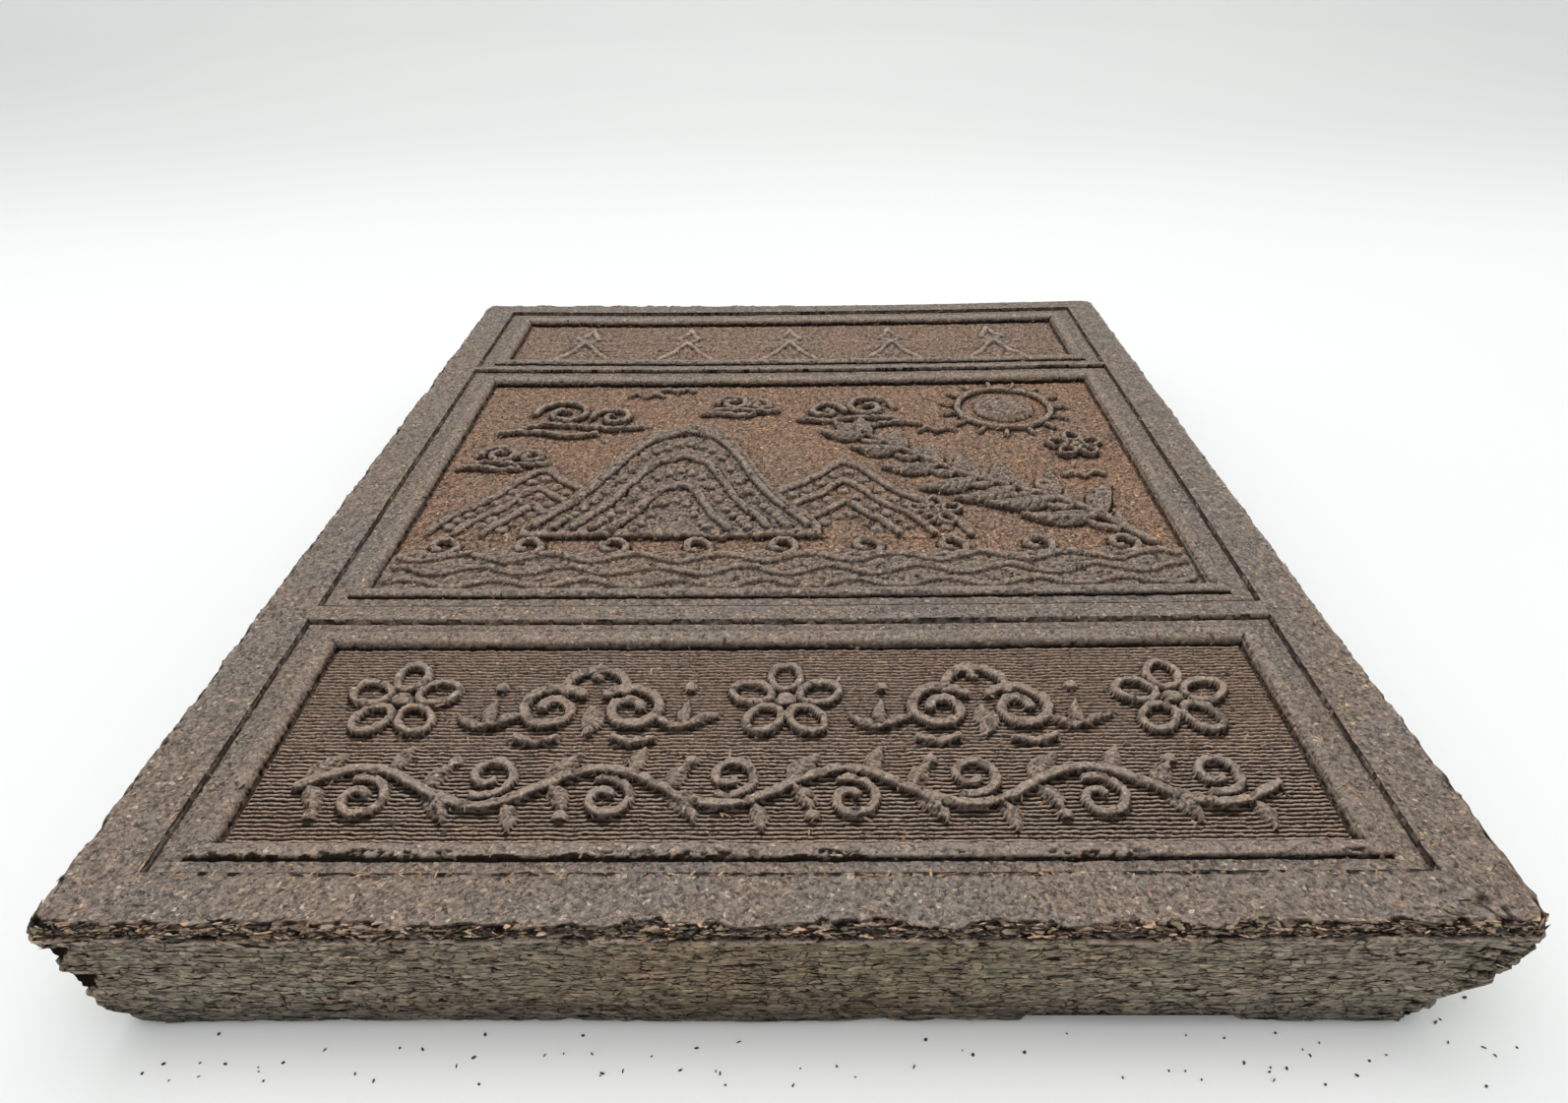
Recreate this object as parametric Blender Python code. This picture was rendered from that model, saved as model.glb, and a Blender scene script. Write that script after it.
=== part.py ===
"""A pressed black tea brick: one solid slab of compacted tea dust, lying flat, with a moulded face.

Units are metres, +Z up. The origin is the centre of the slab's footprint, on the surface it rests on.
+X is to the right and +Y is away from the reader of the moulded face.

The face has a flat rim and three sunken panels one above the other, each with a rounded bead inside its
edge: a row of five-pointed stars, a landscape of hills, waves, clouds and a leafy sprig, and a ribbed
panel with a row of blossoms and cloud heads over a running vine. All of it is fused into the slab.
"""

import math
import random

import bmesh
import bpy
from mathutils import Vector

MM = 0.001

# Driving dimensions of the slab.
WIDTH = 188 * MM
LENGTH = 237 * MM
THICKNESS = 24 * MM
NEAR_FLARE = 1.3 * MM  # how much farther out each side of the face lies at the near end
SIDE_DRAFT = 4.2 * MM  # how far the side walls lean in towards the underside
UNDERSIDE_SHIFT = (-2.2 * MM, -1.3 * MM)  # how far the underside lies off the middle of the face
FAR_CORNER = 3.5 * MM
BOW = 0.9 * MM  # the face sags this much along its middle

# The rim and the bars between the panels.
SIDE_RIM = 9.0 * MM
NEAR_RIM = 9.5 * MM
FAR_RIM = 6.5 * MM
ORNAMENT_LENGTH = 57.5 * MM
LOWER_BAR = 4.5 * MM
PICTURE_LENGTH = 112.5 * MM
UPPER_BAR = 1.8 * MM

# A panel's section, from its outer step inwards.
STEP_DEPTH = 0.9 * MM
BEAD_START = 3.7 * MM
BEAD_WIDTH = 3.2 * MM
BEAD_HEIGHT = 0.85 * MM
FLOOR_INSET = 7.2 * MM
ORNAMENT_NEAR_STRIP = 2.9 * MM  # from step to bead on the near side of the near panel
ORNAMENT_FAR_STRIP = 2.7 * MM  # and on its far side
FLOOR_DEPTH = 2.2 * MM

# Relief, as heights above a panel's floor.
ROOT = 0.6 * MM  # how far each fused shape reaches down into the slab
RIB_HEIGHT = 0.35 * MM
RIB_PITCH = 3.2 * MM  # every fourth rib of the real face, to keep the solid light
STROKE_HEIGHT = 1.5 * MM
STROKE_WIDTH = 2.2 * MM

# The row of stars.
STAR_COUNT = 5
STAR_SPACING = 29.3 * MM
STAR_RADIUS = 12.4 * MM
STAR_HEIGHT = 0.9 * MM

# The landscape. Hills, from the back one forwards: middle, half width, height, thickness.
HILLS = (
    (-54 * MM, 22 * MM, 31 * MM, 0.35 * MM),
    (12 * MM, 28 * MM, 34 * MM, 0.4 * MM),
    (-24 * MM, 31 * MM, 55 * MM, 1.25 * MM),
)
HILL_BANDS = (0.9, 0.64, 0.38)
WAVES = 9
WAVE_ROWS = 3
WAVE_SPACING = 4.6 * MM
WAVE_SWELL = 1.3 * MM
# Clouds: middle of the larger curl, size against the plain one, which way the tail runs.
CLOUDS = (
    ((-56 * MM, 40 * MM), 1.45, 1),
    ((20 * MM, 43 * MM), 1.25, -1),
    ((-14 * MM, 46 * MM), 0.8, 1),
)
SUN_CENTRE = (54 * MM, 42 * MM)
SUN_RADIUS = 7.6 * MM
SUN_RING_RADIUS = 11.6 * MM
SPRIG_FOOT = (73 * MM, -24 * MM)
SPRIG_REACH = (-54 * MM, 49 * MM)
SPRIG_PAIRS = 7
SPRIG_BLOSSOMS = (((67 * MM, 20 * MM), 6.6 * MM), ((31 * MM, -11 * MM), 6.0 * MM))

# The ribbed panel.
ROW_Y = -72.2 * MM
ROW_SPACING = 31 * MM
BLOSSOM_REACH = 9.6 * MM
VINE_Y = -91.8 * MM
VINE_BENDS = 8
VINE_REACH = 17.8 * MM
VINE_SWING = 3.7 * MM

# Raggedness of the pressed edge.
STATION_SPACING = 12 * MM
EDGE_JITTER = 0.28 * MM
EDGE_SEED = 11

HALF_WIDTH = WIDTH / 2
HALF_LENGTH = LENGTH / 2
PANEL_HALF_WIDTH = HALF_WIDTH - SIDE_RIM
ORNAMENT_NEAR = -HALF_LENGTH + NEAR_RIM
ORNAMENT_FAR = ORNAMENT_NEAR + ORNAMENT_LENGTH
PICTURE_NEAR = ORNAMENT_FAR + LOWER_BAR
PICTURE_FAR = PICTURE_NEAR + PICTURE_LENGTH
STARS_NEAR = PICTURE_FAR + UPPER_BAR
STARS_FAR = HALF_LENGTH - FAR_RIM
FLOOR_Z = THICKNESS - FLOOR_DEPTH
FLOOR_HALF_WIDTH = PANEL_HALF_WIDTH - FLOOR_INSET
ROOT_Z = FLOOR_Z - ROOT


# ---------------------------------------------------------------- outlines and paths in the plane


def turned(x, y, angle):
    """The point x, y turned about the origin by an angle in degrees."""
    radians = math.radians(angle)
    cosine = math.cos(radians)
    sine = math.sin(radians)
    return x * cosine - y * sine, x * sine + y * cosine


def moved(point, offset):
    """A point shifted by an offset."""
    return point[0] + offset[0], point[1] + offset[1]


def arc(centre, radius, start, end, steps):
    """Points along an arc, with its angles in degrees."""
    angles = [start + (end - start) * i / steps for i in range(steps + 1)]
    return [moved(centre, turned(radius, 0, angle)) for angle in angles]


def spiral(centre, outer, inner, start, turns, steps):
    """Points of a spiral from its outer end inwards. A negative number of turns runs clockwise."""
    points = []
    for i in range(steps + 1):
        share = i / steps
        radius = outer + (inner - outer) * share
        points.append(moved(centre, turned(radius, 0, start + 360 * turns * share)))
    return points


def normals(path, closed):
    """The mitred left-hand normal at each point of a path."""
    count = len(path)
    found = []
    for i in range(count):
        before = path[(i - 1) % count] if closed or i > 0 else None
        after = path[(i + 1) % count] if closed or i < count - 1 else None
        sides = []
        for a, b in ((before, path[i]), (path[i], after)):
            if a is not None and b is not None:
                run = Vector((b[0] - a[0], b[1] - a[1])).normalized()
                sides.append(Vector((-run.y, run.x)))
        mean = sum(sides, Vector((0, 0)))
        mean.normalize()
        found.append(mean / max(0.6, mean.dot(sides[0])))
    return found


# ---------------------------------------------------------------- solids


def closed_object(name, shape, collection=None):
    """A mesh object made from a closed bmesh, with its faces pointing outwards."""
    bmesh.ops.recalc_face_normals(shape, faces=shape.faces)
    mesh = bpy.data.meshes.new(name)
    shape.to_mesh(mesh)
    shape.free()
    made = bpy.data.objects.new(name, mesh)
    (collection or bpy.context.scene.collection).objects.link(made)
    return made


def loft(name, rings, collection=None, closed=False):
    """Joins rings of equally many points. The end rings are capped, unless the loft closes on itself."""
    shape = bmesh.new()
    loops = [[shape.verts.new(point) for point in ring] for ring in rings]
    following = [*loops[1:], loops[0]] if closed else loops[1:]
    for low, high in zip(loops, following):
        for i in range(len(low)):
            shape.faces.new((low[i - 1], low[i], high[i], high[i - 1]))
    if not closed:
        shape.faces.new(loops[0])
        shape.faces.new(loops[-1])
    return closed_object(name, shape, collection)


def sweep(name, path, profile, collection, widths=None, closed=False):
    """Sweeps a profile of (across, z) points along a path. widths scales it across at each point."""
    widths = widths or [1.0] * len(path)
    rings = []
    for (x, y), normal, width in zip(path, normals(path, closed), widths):
        rings.append([(x + normal.x * a * width, y + normal.y * a * width, z) for a, z in profile])
    return loft(name, rings, collection, closed)


def stroke(name, path, width, height, collection, closed=False, widths=None):
    """A raised ridge with a flat crown and leaning sides."""
    profile = [
        (-width * 0.5, ROOT_Z),
        (-width * 0.32, FLOOR_Z + height),
        (width * 0.32, FLOOR_Z + height),
        (width * 0.5, ROOT_Z),
    ]
    return sweep(name, path, profile, collection, widths, closed)


def lathe(name, centre, profile, sides, collection):
    """A turned solid from (radius, z) points, lowest first. Both ends are capped."""
    rings = []
    for radius, z in profile:
        round_ring = arc(centre, radius, 0, 360 * (sides - 1) / sides, sides - 1)
        rings.append([(x, y, z) for x, y in round_ring])
    return loft(name, rings, collection)


def plate(name, outline, height, slope, collection):
    """A low slab with a given outline, drawn anticlockwise, and leaning sides."""
    low = [(x, y, ROOT_Z) for x, y in outline]
    high = []
    for (x, y), inward in zip(outline, normals(outline, closed=True)):
        high.append((x + inward.x * slope, y + inward.y * slope, FLOOR_Z + height))
    return loft(name, [low, high], collection)


def leaf(name, base, angle, length, width, height, collection, stations=4):
    """A pointed leaf with a raised midrib, bent a little to its left. The angle is in degrees."""
    path = []
    widths = []
    for i in range(stations + 1):
        share = i / stations
        bend = 0.10 * length * math.sin(math.pi * share)
        path.append(moved(base, turned(length * share, bend, angle)))
        widths.append(0.08 + 0.92 * math.sin(math.pi * share**0.8))
    edge = FLOOR_Z + height * 0.5
    profile = [
        (-width / 2, ROOT_Z),
        (-width / 2, edge),
        (0.0, FLOOR_Z + height),
        (width / 2, edge),
        (width / 2, ROOT_Z),
    ]
    return sweep(name, path, profile, collection, widths)


# ---------------------------------------------------------------- the slab


def rounded_outline(inset, near_left, near_right):
    """Points round the slab's outline, moved in by inset. There are as many for any inset.

    near_left and near_right are the radii of the two near corners.
    """
    per_width = round(WIDTH / STATION_SPACING)
    per_length = round(LENGTH / STATION_SPACING)
    corner_steps = 3
    corners = (  # side in x, side in y, first angle, radius, spans to the next corner
        (1, -1, -90, near_right, per_length),
        (1, 1, 0, FAR_CORNER - inset * 0.35, per_width),
        (-1, 1, 90, FAR_CORNER - inset * 0.35, per_length),
        (-1, -1, 180, near_left, per_width),
    )
    turns = []
    for side_x, side_y, start, radius, _ in corners:
        centre = (side_x * (HALF_WIDTH - inset - radius), side_y * (HALF_LENGTH - inset - radius))
        turns.append(arc(centre, radius, start, start + 90, corner_steps))
    points = []
    for i, turn in enumerate(turns):
        spans = corners[i][4]
        (x0, y0), (x1, y1) = turn[-1], turns[(i + 1) % 4][0]
        points += turn
        points += [(x0 + (x1 - x0) * k / spans, y0 + (y1 - y0) * k / spans) for k in range(1, spans)]
    return points


def hump(value, low, high):
    """A smooth hump between low and high, 1 in its middle."""
    if not low < value < high:
        return 0.0
    return math.sin(math.pi * (value - low) / (high - low)) ** 0.5


def wear(x, y, z):
    """How far the slab is worn at a point of its clean outline: (inward, upward)."""
    if y > -HALF_LENGTH + 10 * MM:
        return 0.0, 0.0
    inward = 0.0
    upward = 0.0
    if z < 3.5 * MM:  # a shallow scallop broken from the near bottom edge
        inward += 1.4 * MM * hump(x, 33 * MM, 63 * MM)
        upward += 1.2 * MM * hump(x, 33 * MM, 63 * MM)
    if x < -HALF_WIDTH + 6 * MM:  # a small chip in the left corner
        inward += 0.6 * MM * hump(z, 8 * MM, 15 * MM)
    return inward, upward


def outward(x, y):
    """The unit direction out of the slab at a point of its outline."""
    beside = HALF_WIDTH - abs(x)
    beyond = HALF_LENGTH - abs(y)
    corner = 7 * MM
    if beside < corner and beyond < corner:
        return Vector((math.copysign(1, x), math.copysign(1, y))).normalized()
    if beside < beyond:
        return Vector((math.copysign(1, x), 0))
    return Vector((0, math.copysign(1, y)))


def slab():
    """The slab with its leaning sides, ragged edge and flat underside."""
    ragged = random.Random(EDGE_SEED)
    levels = (  # inset, height, share of the edge's raggedness, radii of the near left and right corners
        (SIDE_DRAFT + 2.0 * MM, 0.0, 0.0, 2.4 * MM, 1.0 * MM),
        (SIDE_DRAFT + 0.6 * MM, 0.8 * MM, 0.7, 3.0 * MM, 1.5 * MM),
        (SIDE_DRAFT * 0.85, 4.0 * MM, 0.4, 4.2 * MM, 4.8 * MM),
        (SIDE_DRAFT * 0.73, 6.5 * MM, 0.3, 1.2 * MM, 6.2 * MM),  # the right corner has crumbled here
        (SIDE_DRAFT * 0.61, 9.0 * MM, 0.3, 1.0 * MM, 4.5 * MM),
        (SIDE_DRAFT * 0.42, 13.0 * MM, 0.3, 1.6 * MM, 1.0 * MM),
        (SIDE_DRAFT * 0.06, THICKNESS - 2.2 * MM, 0.7, 1.6 * MM, 2.0 * MM),
        (0.0, THICKNESS - 1.2 * MM, 1.0, 2.0 * MM, 2.4 * MM),
        (0.4 * MM, THICKNESS, 1.0, 2.4 * MM, 3.0 * MM),
    )
    rings = []
    for inset, level, share, near_left, near_right in levels:
        ring = []
        lean = 1 - level / THICKNESS
        shift = (UNDERSIDE_SHIFT[0] * lean, UNDERSIDE_SHIFT[1] * lean)
        for x, y in rounded_outline(inset, near_left, near_right):
            inward, upward = wear(x, y, level)
            inward += share * EDGE_JITTER * ragged.uniform(0, 2)
            drop = share * EDGE_JITTER * ragged.uniform(0, 1)
            z = 0.0
            if level > 0:
                z = level + upward - drop
            away = outward(x, y)
            x *= 1 + NEAR_FLARE * (0.5 - y / LENGTH) * (1 - lean) / HALF_WIDTH
            x, y = moved((x, y), shift)
            ring.append((x - away.x * inward, y - away.y * inward, z))
        rings.append(ring)
    return loft("tea_brick", rings)


def panel_section():
    """(inset, z) of a panel, from above its outer step to its floor."""
    strip = THICKNESS - STEP_DEPTH
    return (
        (0.0, THICKNESS + 1.0 * MM),
        (0.0, strip + 0.15 * MM),
        (0.2 * MM, strip),
        (BEAD_START, strip - 0.05 * MM),
        (BEAD_START + BEAD_WIDTH * 0.12, strip + BEAD_HEIGHT * 0.65),
        (BEAD_START + BEAD_WIDTH * 0.45, strip + BEAD_HEIGHT),
        (BEAD_START + BEAD_WIDTH * 0.85, strip + BEAD_HEIGHT * 0.53),
        (BEAD_START + BEAD_WIDTH, strip - 0.4 * MM),
        (FLOOR_INSET, FLOOR_Z),
    )


def narrowed(inset, strip):
    """An inset of the panel's section on a side whose strip from step to bead is narrower."""
    if inset < BEAD_START:
        return inset * strip / BEAD_START
    return inset - (BEAD_START - strip)


def panel_hollow(name, near, far, spans_x, spans_y, collection, near_strip=BEAD_START, far_strip=BEAD_START):
    """The hollow of one panel. Its lower faces are the step, the bead and the floor."""
    rings = []
    for inset, z in panel_section():
        half = PANEL_HALF_WIDTH - inset
        low = near + narrowed(inset, near_strip)
        high = far - narrowed(inset, far_strip)
        corners = ((-half, low), (half, low), (half, high), (-half, high))
        ring = []
        for i, spans in enumerate((spans_x, spans_y, spans_x, spans_y)):
            (x0, y0), (x1, y1) = corners[i], corners[(i + 1) % 4]
            ring += [(x0 + (x1 - x0) * k / spans, y0 + (y1 - y0) * k / spans, z) for k in range(spans)]
        rings.append(ring)
    return loft(name, rings, collection)


# ---------------------------------------------------------------- the row of stars


def star(name, centre, collection):
    """A five-pointed star whose arms rise in facets to its middle."""
    tips = 5
    shape = bmesh.new()
    low = []
    edge = []
    for i in range(2 * tips):
        reach = STAR_RADIUS if i % 2 == 0 else STAR_RADIUS * 0.4
        x, y = moved(centre, turned(reach, 0, 90 + 180 * i / tips))
        low.append(shape.verts.new((x, y, ROOT_Z)))
        edge.append(shape.verts.new((x, y, FLOOR_Z + 0.12 * MM)))
    peak = shape.verts.new((*centre, FLOOR_Z + STAR_HEIGHT))
    shape.faces.new(low)
    for i in range(2 * tips):
        shape.faces.new((low[i - 1], low[i], edge[i], edge[i - 1]))
        shape.faces.new((edge[i - 1], edge[i], peak))
    return closed_object(name, shape, collection)


def star_row(collection):
    """The stars, spread evenly along the far panel."""
    middle = (STARS_NEAR + STARS_FAR) / 2 - 1.0 * MM
    for i in range(STAR_COUNT):
        star(f"star_{i}", ((i - (STAR_COUNT - 1) / 2) * STAR_SPACING, middle), collection)


# ---------------------------------------------------------------- the landscape


def skyline(centre, base, half, height, steps):
    """The top line of one hill, from its left foot to its right. It isn't quite even."""
    points = []
    for i in range(steps + 1):
        share = -1 + 2 * i / steps
        waviness = 0.05 * height * math.sin(9 * share + centre * 60)
        rise = height * (1 - abs(share) ** 1.3) + waviness
        points.append((centre + half * share, base + max(rise, 0.0)))
    return points


def hills(collection):
    """Overlapping hills, each with bands that repeat its top line."""
    base = PICTURE_NEAR + FLOOR_INSET + 21 * MM
    foot = base - 1.5 * MM
    for i, (centre, half, height, thick) in enumerate(HILLS):
        top = skyline(centre, base, half, height, 10)
        outline = [(centre - half, foot), (centre + half, foot), *reversed(top)]
        plate(f"hill_{i}", outline, thick, 0.3 * MM, collection)
        for k, size in enumerate(HILL_BANDS):
            band = skyline(centre, base, half * size, height * size, 8)
            stroke(f"hill_{i}_band_{k}", band, 2.2 * MM, thick + 0.8 * MM, collection)


def waves(collection):
    """Long waves along the near edge of the landscape. The farthest ones curl over."""
    reach = FLOOR_HALF_WIDTH - 1.5 * MM
    first = PICTURE_NEAR + FLOOR_INSET + 2.4 * MM
    for row in range(WAVE_ROWS):
        crests = []
        for i in range(4 * WAVES + 1):
            swell = WAVE_SWELL * math.sin(math.pi * i / 2 + row * math.pi / 2)
            crests.append((-reach + 2 * reach * i / (4 * WAVES), first + row * WAVE_SPACING + swell))
        stroke(f"wave_{row}", crests, 2.1 * MM, STROKE_HEIGHT * 0.8, collection)
    back = first + (WAVE_ROWS - 1) * WAVE_SPACING
    for i in range(WAVES):
        x = -reach + 2 * reach * (i + 0.42) / WAVES
        curl = spiral((x, back + 4.0 * MM), 3.9 * MM, 1.2 * MM, -120, 1.05, 7)
        stroke(f"wave_curl_{i}", curl, 1.8 * MM, STROKE_HEIGHT * 0.9, collection)


def cloud(name, centre, size, side, collection):
    """A cloud of two curls over a double tail that runs out to one side."""
    x, y = centre
    start = 180 if side > 0 else 0
    second = (x + 8.6 * size * side * MM, y - 1.6 * size * MM)
    curls = (
        spiral(centre, 5.2 * size * MM, 1.3 * MM, start, -1.3 * side, 12),
        spiral(second, 3.8 * size * MM, 1.2 * MM, start, -1.15 * side, 10),
    )
    for i, curl in enumerate(curls):
        stroke(f"{name}_curl_{i}", curl, 1.9 * MM, 1.35 * MM, collection)
    for i, (begin, reach, drop) in enumerate(((-5.2, 19, 0.0), (-9.5, 16, 2.6))):
        tail = []
        for k in range(5):
            share = k / 4
            swell = 0.8 * math.sin(2 * math.pi * share)
            out = side * (begin + reach * share)
            tail.append((x + out * size * MM, y - (5.2 + drop - swell) * size * MM))
        stroke(f"{name}_tail_{i}", tail, 1.7 * MM, 1.2 * MM, collection)


def sun(collection):
    """A low dome inside a ring."""
    dome = ((1.0, -ROOT), (0.94, 0.7 * MM), (0.66, 1.2 * MM), (0.26, 1.4 * MM))
    lathe("sun", SUN_CENTRE, [(share * SUN_RADIUS, FLOOR_Z + z) for share, z in dome], 14, collection)
    ring = arc(SUN_CENTRE, SUN_RING_RADIUS, 0, 340, 17)
    stroke("sun_ring", ring, 1.8 * MM, 1.1 * MM, collection, closed=True)


def blossom(name, centre, reach, height, petals, collection):
    """A flower of low, pointed petals round a boss."""
    for i in range(petals):
        angle = 90 + 360 * i / petals
        base = moved(centre, turned(reach * 0.2, 0, angle))
        leaf(f"{name}_petal_{i}", base, angle, reach * 0.8, reach * 0.62, height, collection, stations=3)
    boss = ((reach * 0.3, ROOT_Z), (reach * 0.27, FLOOR_Z + height), (reach * 0.12, FLOOR_Z + height * 1.2))
    lathe(f"{name}_boss", centre, boss, 8, collection)


def sprig(collection):
    """A leafy branch that leans in from the lower right, with leaves along both sides."""
    stem = []
    for i in range(SPRIG_PAIRS + 1):
        share = i / SPRIG_PAIRS
        sway = 2.5 * MM * math.sin(2.4 * math.pi * share)
        stem.append(moved(SPRIG_FOOT, (SPRIG_REACH[0] * share, SPRIG_REACH[1] * share**0.85 + sway)))
    widths = [1.25 - 0.7 * i / SPRIG_PAIRS for i in range(SPRIG_PAIRS + 1)]
    stroke("sprig_stem", stem, 2.0 * MM, 1.3 * MM, collection, widths=widths)
    for i in range(1, SPRIG_PAIRS + 1):
        run = math.degrees(math.atan2(stem[i][1] - stem[i - 1][1], stem[i][0] - stem[i - 1][0]))
        for side in (-1, 1):
            length = (16.5 - 0.9 * i + 1.2 * side) * MM
            angle = run + side * (58 - 3 * i)
            leaf(f"sprig_leaf_{i}_{side + 1}", stem[i], angle, length, 5.6 * MM, STROKE_HEIGHT, collection)
    leaf("sprig_bud", stem[-1], run, 11 * MM, 4.0 * MM, STROKE_HEIGHT, collection)
    for i, (centre, reach) in enumerate(SPRIG_BLOSSOMS):
        blossom(f"sprig_blossom_{i}", centre, reach, STROKE_HEIGHT, 5, collection)


def landscape(collection):
    """All motifs of the middle panel."""
    hills(collection)
    waves(collection)
    for i, (centre, size, side) in enumerate(CLOUDS):
        cloud(f"cloud_{i}", centre, size, side, collection)
    sun(collection)
    sprig(collection)


# ---------------------------------------------------------------- the ribbed panel


def ribs(collection):
    """The ribbed ground of the near panel: one comb of low ridges that run from side to side."""
    near = ORNAMENT_NEAR + narrowed(FLOOR_INSET, ORNAMENT_NEAR_STRIP) + 0.35 * MM
    far = ORNAMENT_FAR - narrowed(FLOOR_INSET, ORNAMENT_FAR_STRIP) - 0.35 * MM
    count = round((far - near) / RIB_PITCH)
    pitch = (far - near) / count
    section = [(near, ROOT_Z)]
    for i in range(count):
        section.append((near + pitch * i, FLOOR_Z + 0.02 * MM))
        section.append((near + pitch * (i + 0.5), FLOOR_Z + RIB_HEIGHT))
    section += [(far, FLOOR_Z + 0.02 * MM), (far, ROOT_Z)]
    half = FLOOR_HALF_WIDTH - 0.35 * MM
    rings = [[(x, y, z) for y, z in section] for x in (-half, 0.0, half)]
    loft("ribs", rings, collection)


def cloud_head(name, centre, collection):
    """A cloud head: two lobes that curl in, a third over them and a leaf below."""
    x, y = centre
    for side in (-1, 1):
        lobe = (x + side * 6.3 * MM, y - 2.2 * MM)
        curl = spiral(lobe, 5.6 * MM, 1.6 * MM, 90 + side * 50, -side * 1.35, 13)
        stroke(f"{name}_lobe_{side + 1}", curl, STROKE_WIDTH, STROKE_HEIGHT, collection)
    crown = arc((x, y + 3.0 * MM), 5.0 * MM, -10, 190, 7)
    stroke(f"{name}_crown", crown, STROKE_WIDTH, STROKE_HEIGHT, collection)
    leaf(f"{name}_leaf", (x, y - 1.6 * MM), -90, 7.0 * MM, 3.8 * MM, STROKE_HEIGHT, collection, stations=3)


def ornament_row(collection):
    """Blossoms and cloud heads in turn along the far half of the ribbed panel."""
    for i in range(5):
        centre = ((i - 2) * ROW_SPACING, ROW_Y)
        if i % 2 == 0:
            blossom(f"row_blossom_{i}", centre, BLOSSOM_REACH, STROKE_HEIGHT, 6, collection)
        else:
            cloud_head(f"row_cloud_{i}", centre, collection)


def vine(collection):
    """A running vine with a curl and a leaf in each of its bends."""
    per_bend = 4
    stem = []
    for i in range(VINE_BENDS * per_bend + 1):
        bends = i / per_bend
        stem.append(((bends - VINE_BENDS / 2) * VINE_REACH, VINE_Y + VINE_SWING * math.sin(math.pi * bends)))
    stroke("vine_stem", stem, STROKE_WIDTH * 0.9, STROKE_HEIGHT, collection)
    for i in range(VINE_BENDS):
        side = 1 if i % 2 == 0 else -1
        x = (i + 0.5 - VINE_BENDS / 2) * VINE_REACH
        heart = (x + 0.8 * MM, VINE_Y - side * 2.4 * MM)
        curl = spiral(heart, 4.3 * MM, 1.3 * MM, side * 110, -side * 1.15, 9)
        stroke(f"vine_curl_{i}", curl, STROKE_WIDTH * 0.8, STROKE_HEIGHT * 0.9, collection)
        base = (x - VINE_REACH * 0.44, VINE_Y + side * 0.4 * MM)
        height = STROKE_HEIGHT * 0.95
        leaf(f"vine_leaf_{i}", base, side * 58, 7.6 * MM, 4.0 * MM, height, collection, stations=3)


# ---------------------------------------------------------------- putting it together


def apply_boolean(target, operation, collection):
    """Applies one Boolean of a whole collection to the target, then removes the collection's objects."""
    modifier = target.modifiers.new(operation.lower(), "BOOLEAN")
    modifier.operation = operation
    modifier.operand_type = "COLLECTION"
    modifier.collection = collection
    modifier.solver = "MANIFOLD"  # the exact solver leaves open edges on this slab
    graph = bpy.context.evaluated_depsgraph_get()
    joined = bpy.data.meshes.new_from_object(target.evaluated_get(graph))
    target.modifiers.clear()
    target.data = joined
    for piece in list(collection.objects):
        bpy.data.objects.remove(piece)
    bpy.data.collections.remove(collection)


def sag(mesh):
    """Lets the face bow down along its middle, more towards the far end. The underside stays flat."""
    for vertex in mesh.vertices:
        x, y, z = vertex.co
        along = 0.75 + 0.25 * y / HALF_LENGTH
        across = max(0.0, 1 - (x / HALF_WIDTH) ** 2)
        vertex.co.z = z - BOW * along * across * z / THICKNESS


def centre_on_footprint(mesh):
    """Moves the mesh so that its box is centred over the origin."""
    for axis in (0, 1):
        values = [vertex.co[axis] for vertex in mesh.vertices]
        shift = (min(values) + max(values)) / 2
        for vertex in mesh.vertices:
            vertex.co[axis] -= shift


def tea_material():
    """Dark, dull, greyish brown pressed tea."""
    made = bpy.data.materials.new("pressed_tea")
    made.use_nodes = True
    shader = made.node_tree.nodes["Principled BSDF"]
    shader.inputs["Base Color"].default_value = (0.085, 0.062, 0.047, 1.0)
    shader.inputs["Roughness"].default_value = 0.62
    shader.inputs["Metallic"].default_value = 0.0
    return made


def collection_of(name):
    """A new collection, linked to the scene."""
    made = bpy.data.collections.new(name)
    bpy.context.scene.collection.children.link(made)
    return made


def build():
    """Builds the tea brick as one solid."""
    for old in list(bpy.data.objects):
        bpy.data.objects.remove(old)
    brick = slab()
    hollows = collection_of("panel_hollows")
    strips = (ORNAMENT_NEAR_STRIP, ORNAMENT_FAR_STRIP)
    panel_hollow("ornament_hollow", ORNAMENT_NEAR, ORNAMENT_FAR, 4, 1, hollows, *strips)
    panel_hollow("picture_hollow", PICTURE_NEAR, PICTURE_FAR, 4, 2, hollows)
    panel_hollow("star_hollow", STARS_NEAR, STARS_FAR, 4, 1, hollows)
    apply_boolean(brick, "DIFFERENCE", hollows)
    relief = collection_of("relief")
    ribs(relief)
    ornament_row(relief)
    vine(relief)
    landscape(relief)
    star_row(relief)
    apply_boolean(brick, "UNION", relief)
    sag(brick.data)
    centre_on_footprint(brick.data)
    brick.data.materials.clear()
    brick.data.materials.append(tea_material())
    brick.data.shade_flat()


build()
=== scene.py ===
"""The looks of the black tea brick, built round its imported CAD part: a pressed slab with a moulded face."""

import logging
from dataclasses import dataclass, field
from enum import Enum
from math import atan2, ceil, cos, degrees, hypot, pi, radians, sin, tau
from typing import Any, Callable, Optional, Sequence

import bpy
import numpy as np
from bpy.types import Material, Mesh, Node, NodeSocket, NodeTree, Object
from mathutils import Matrix, Vector


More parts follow.
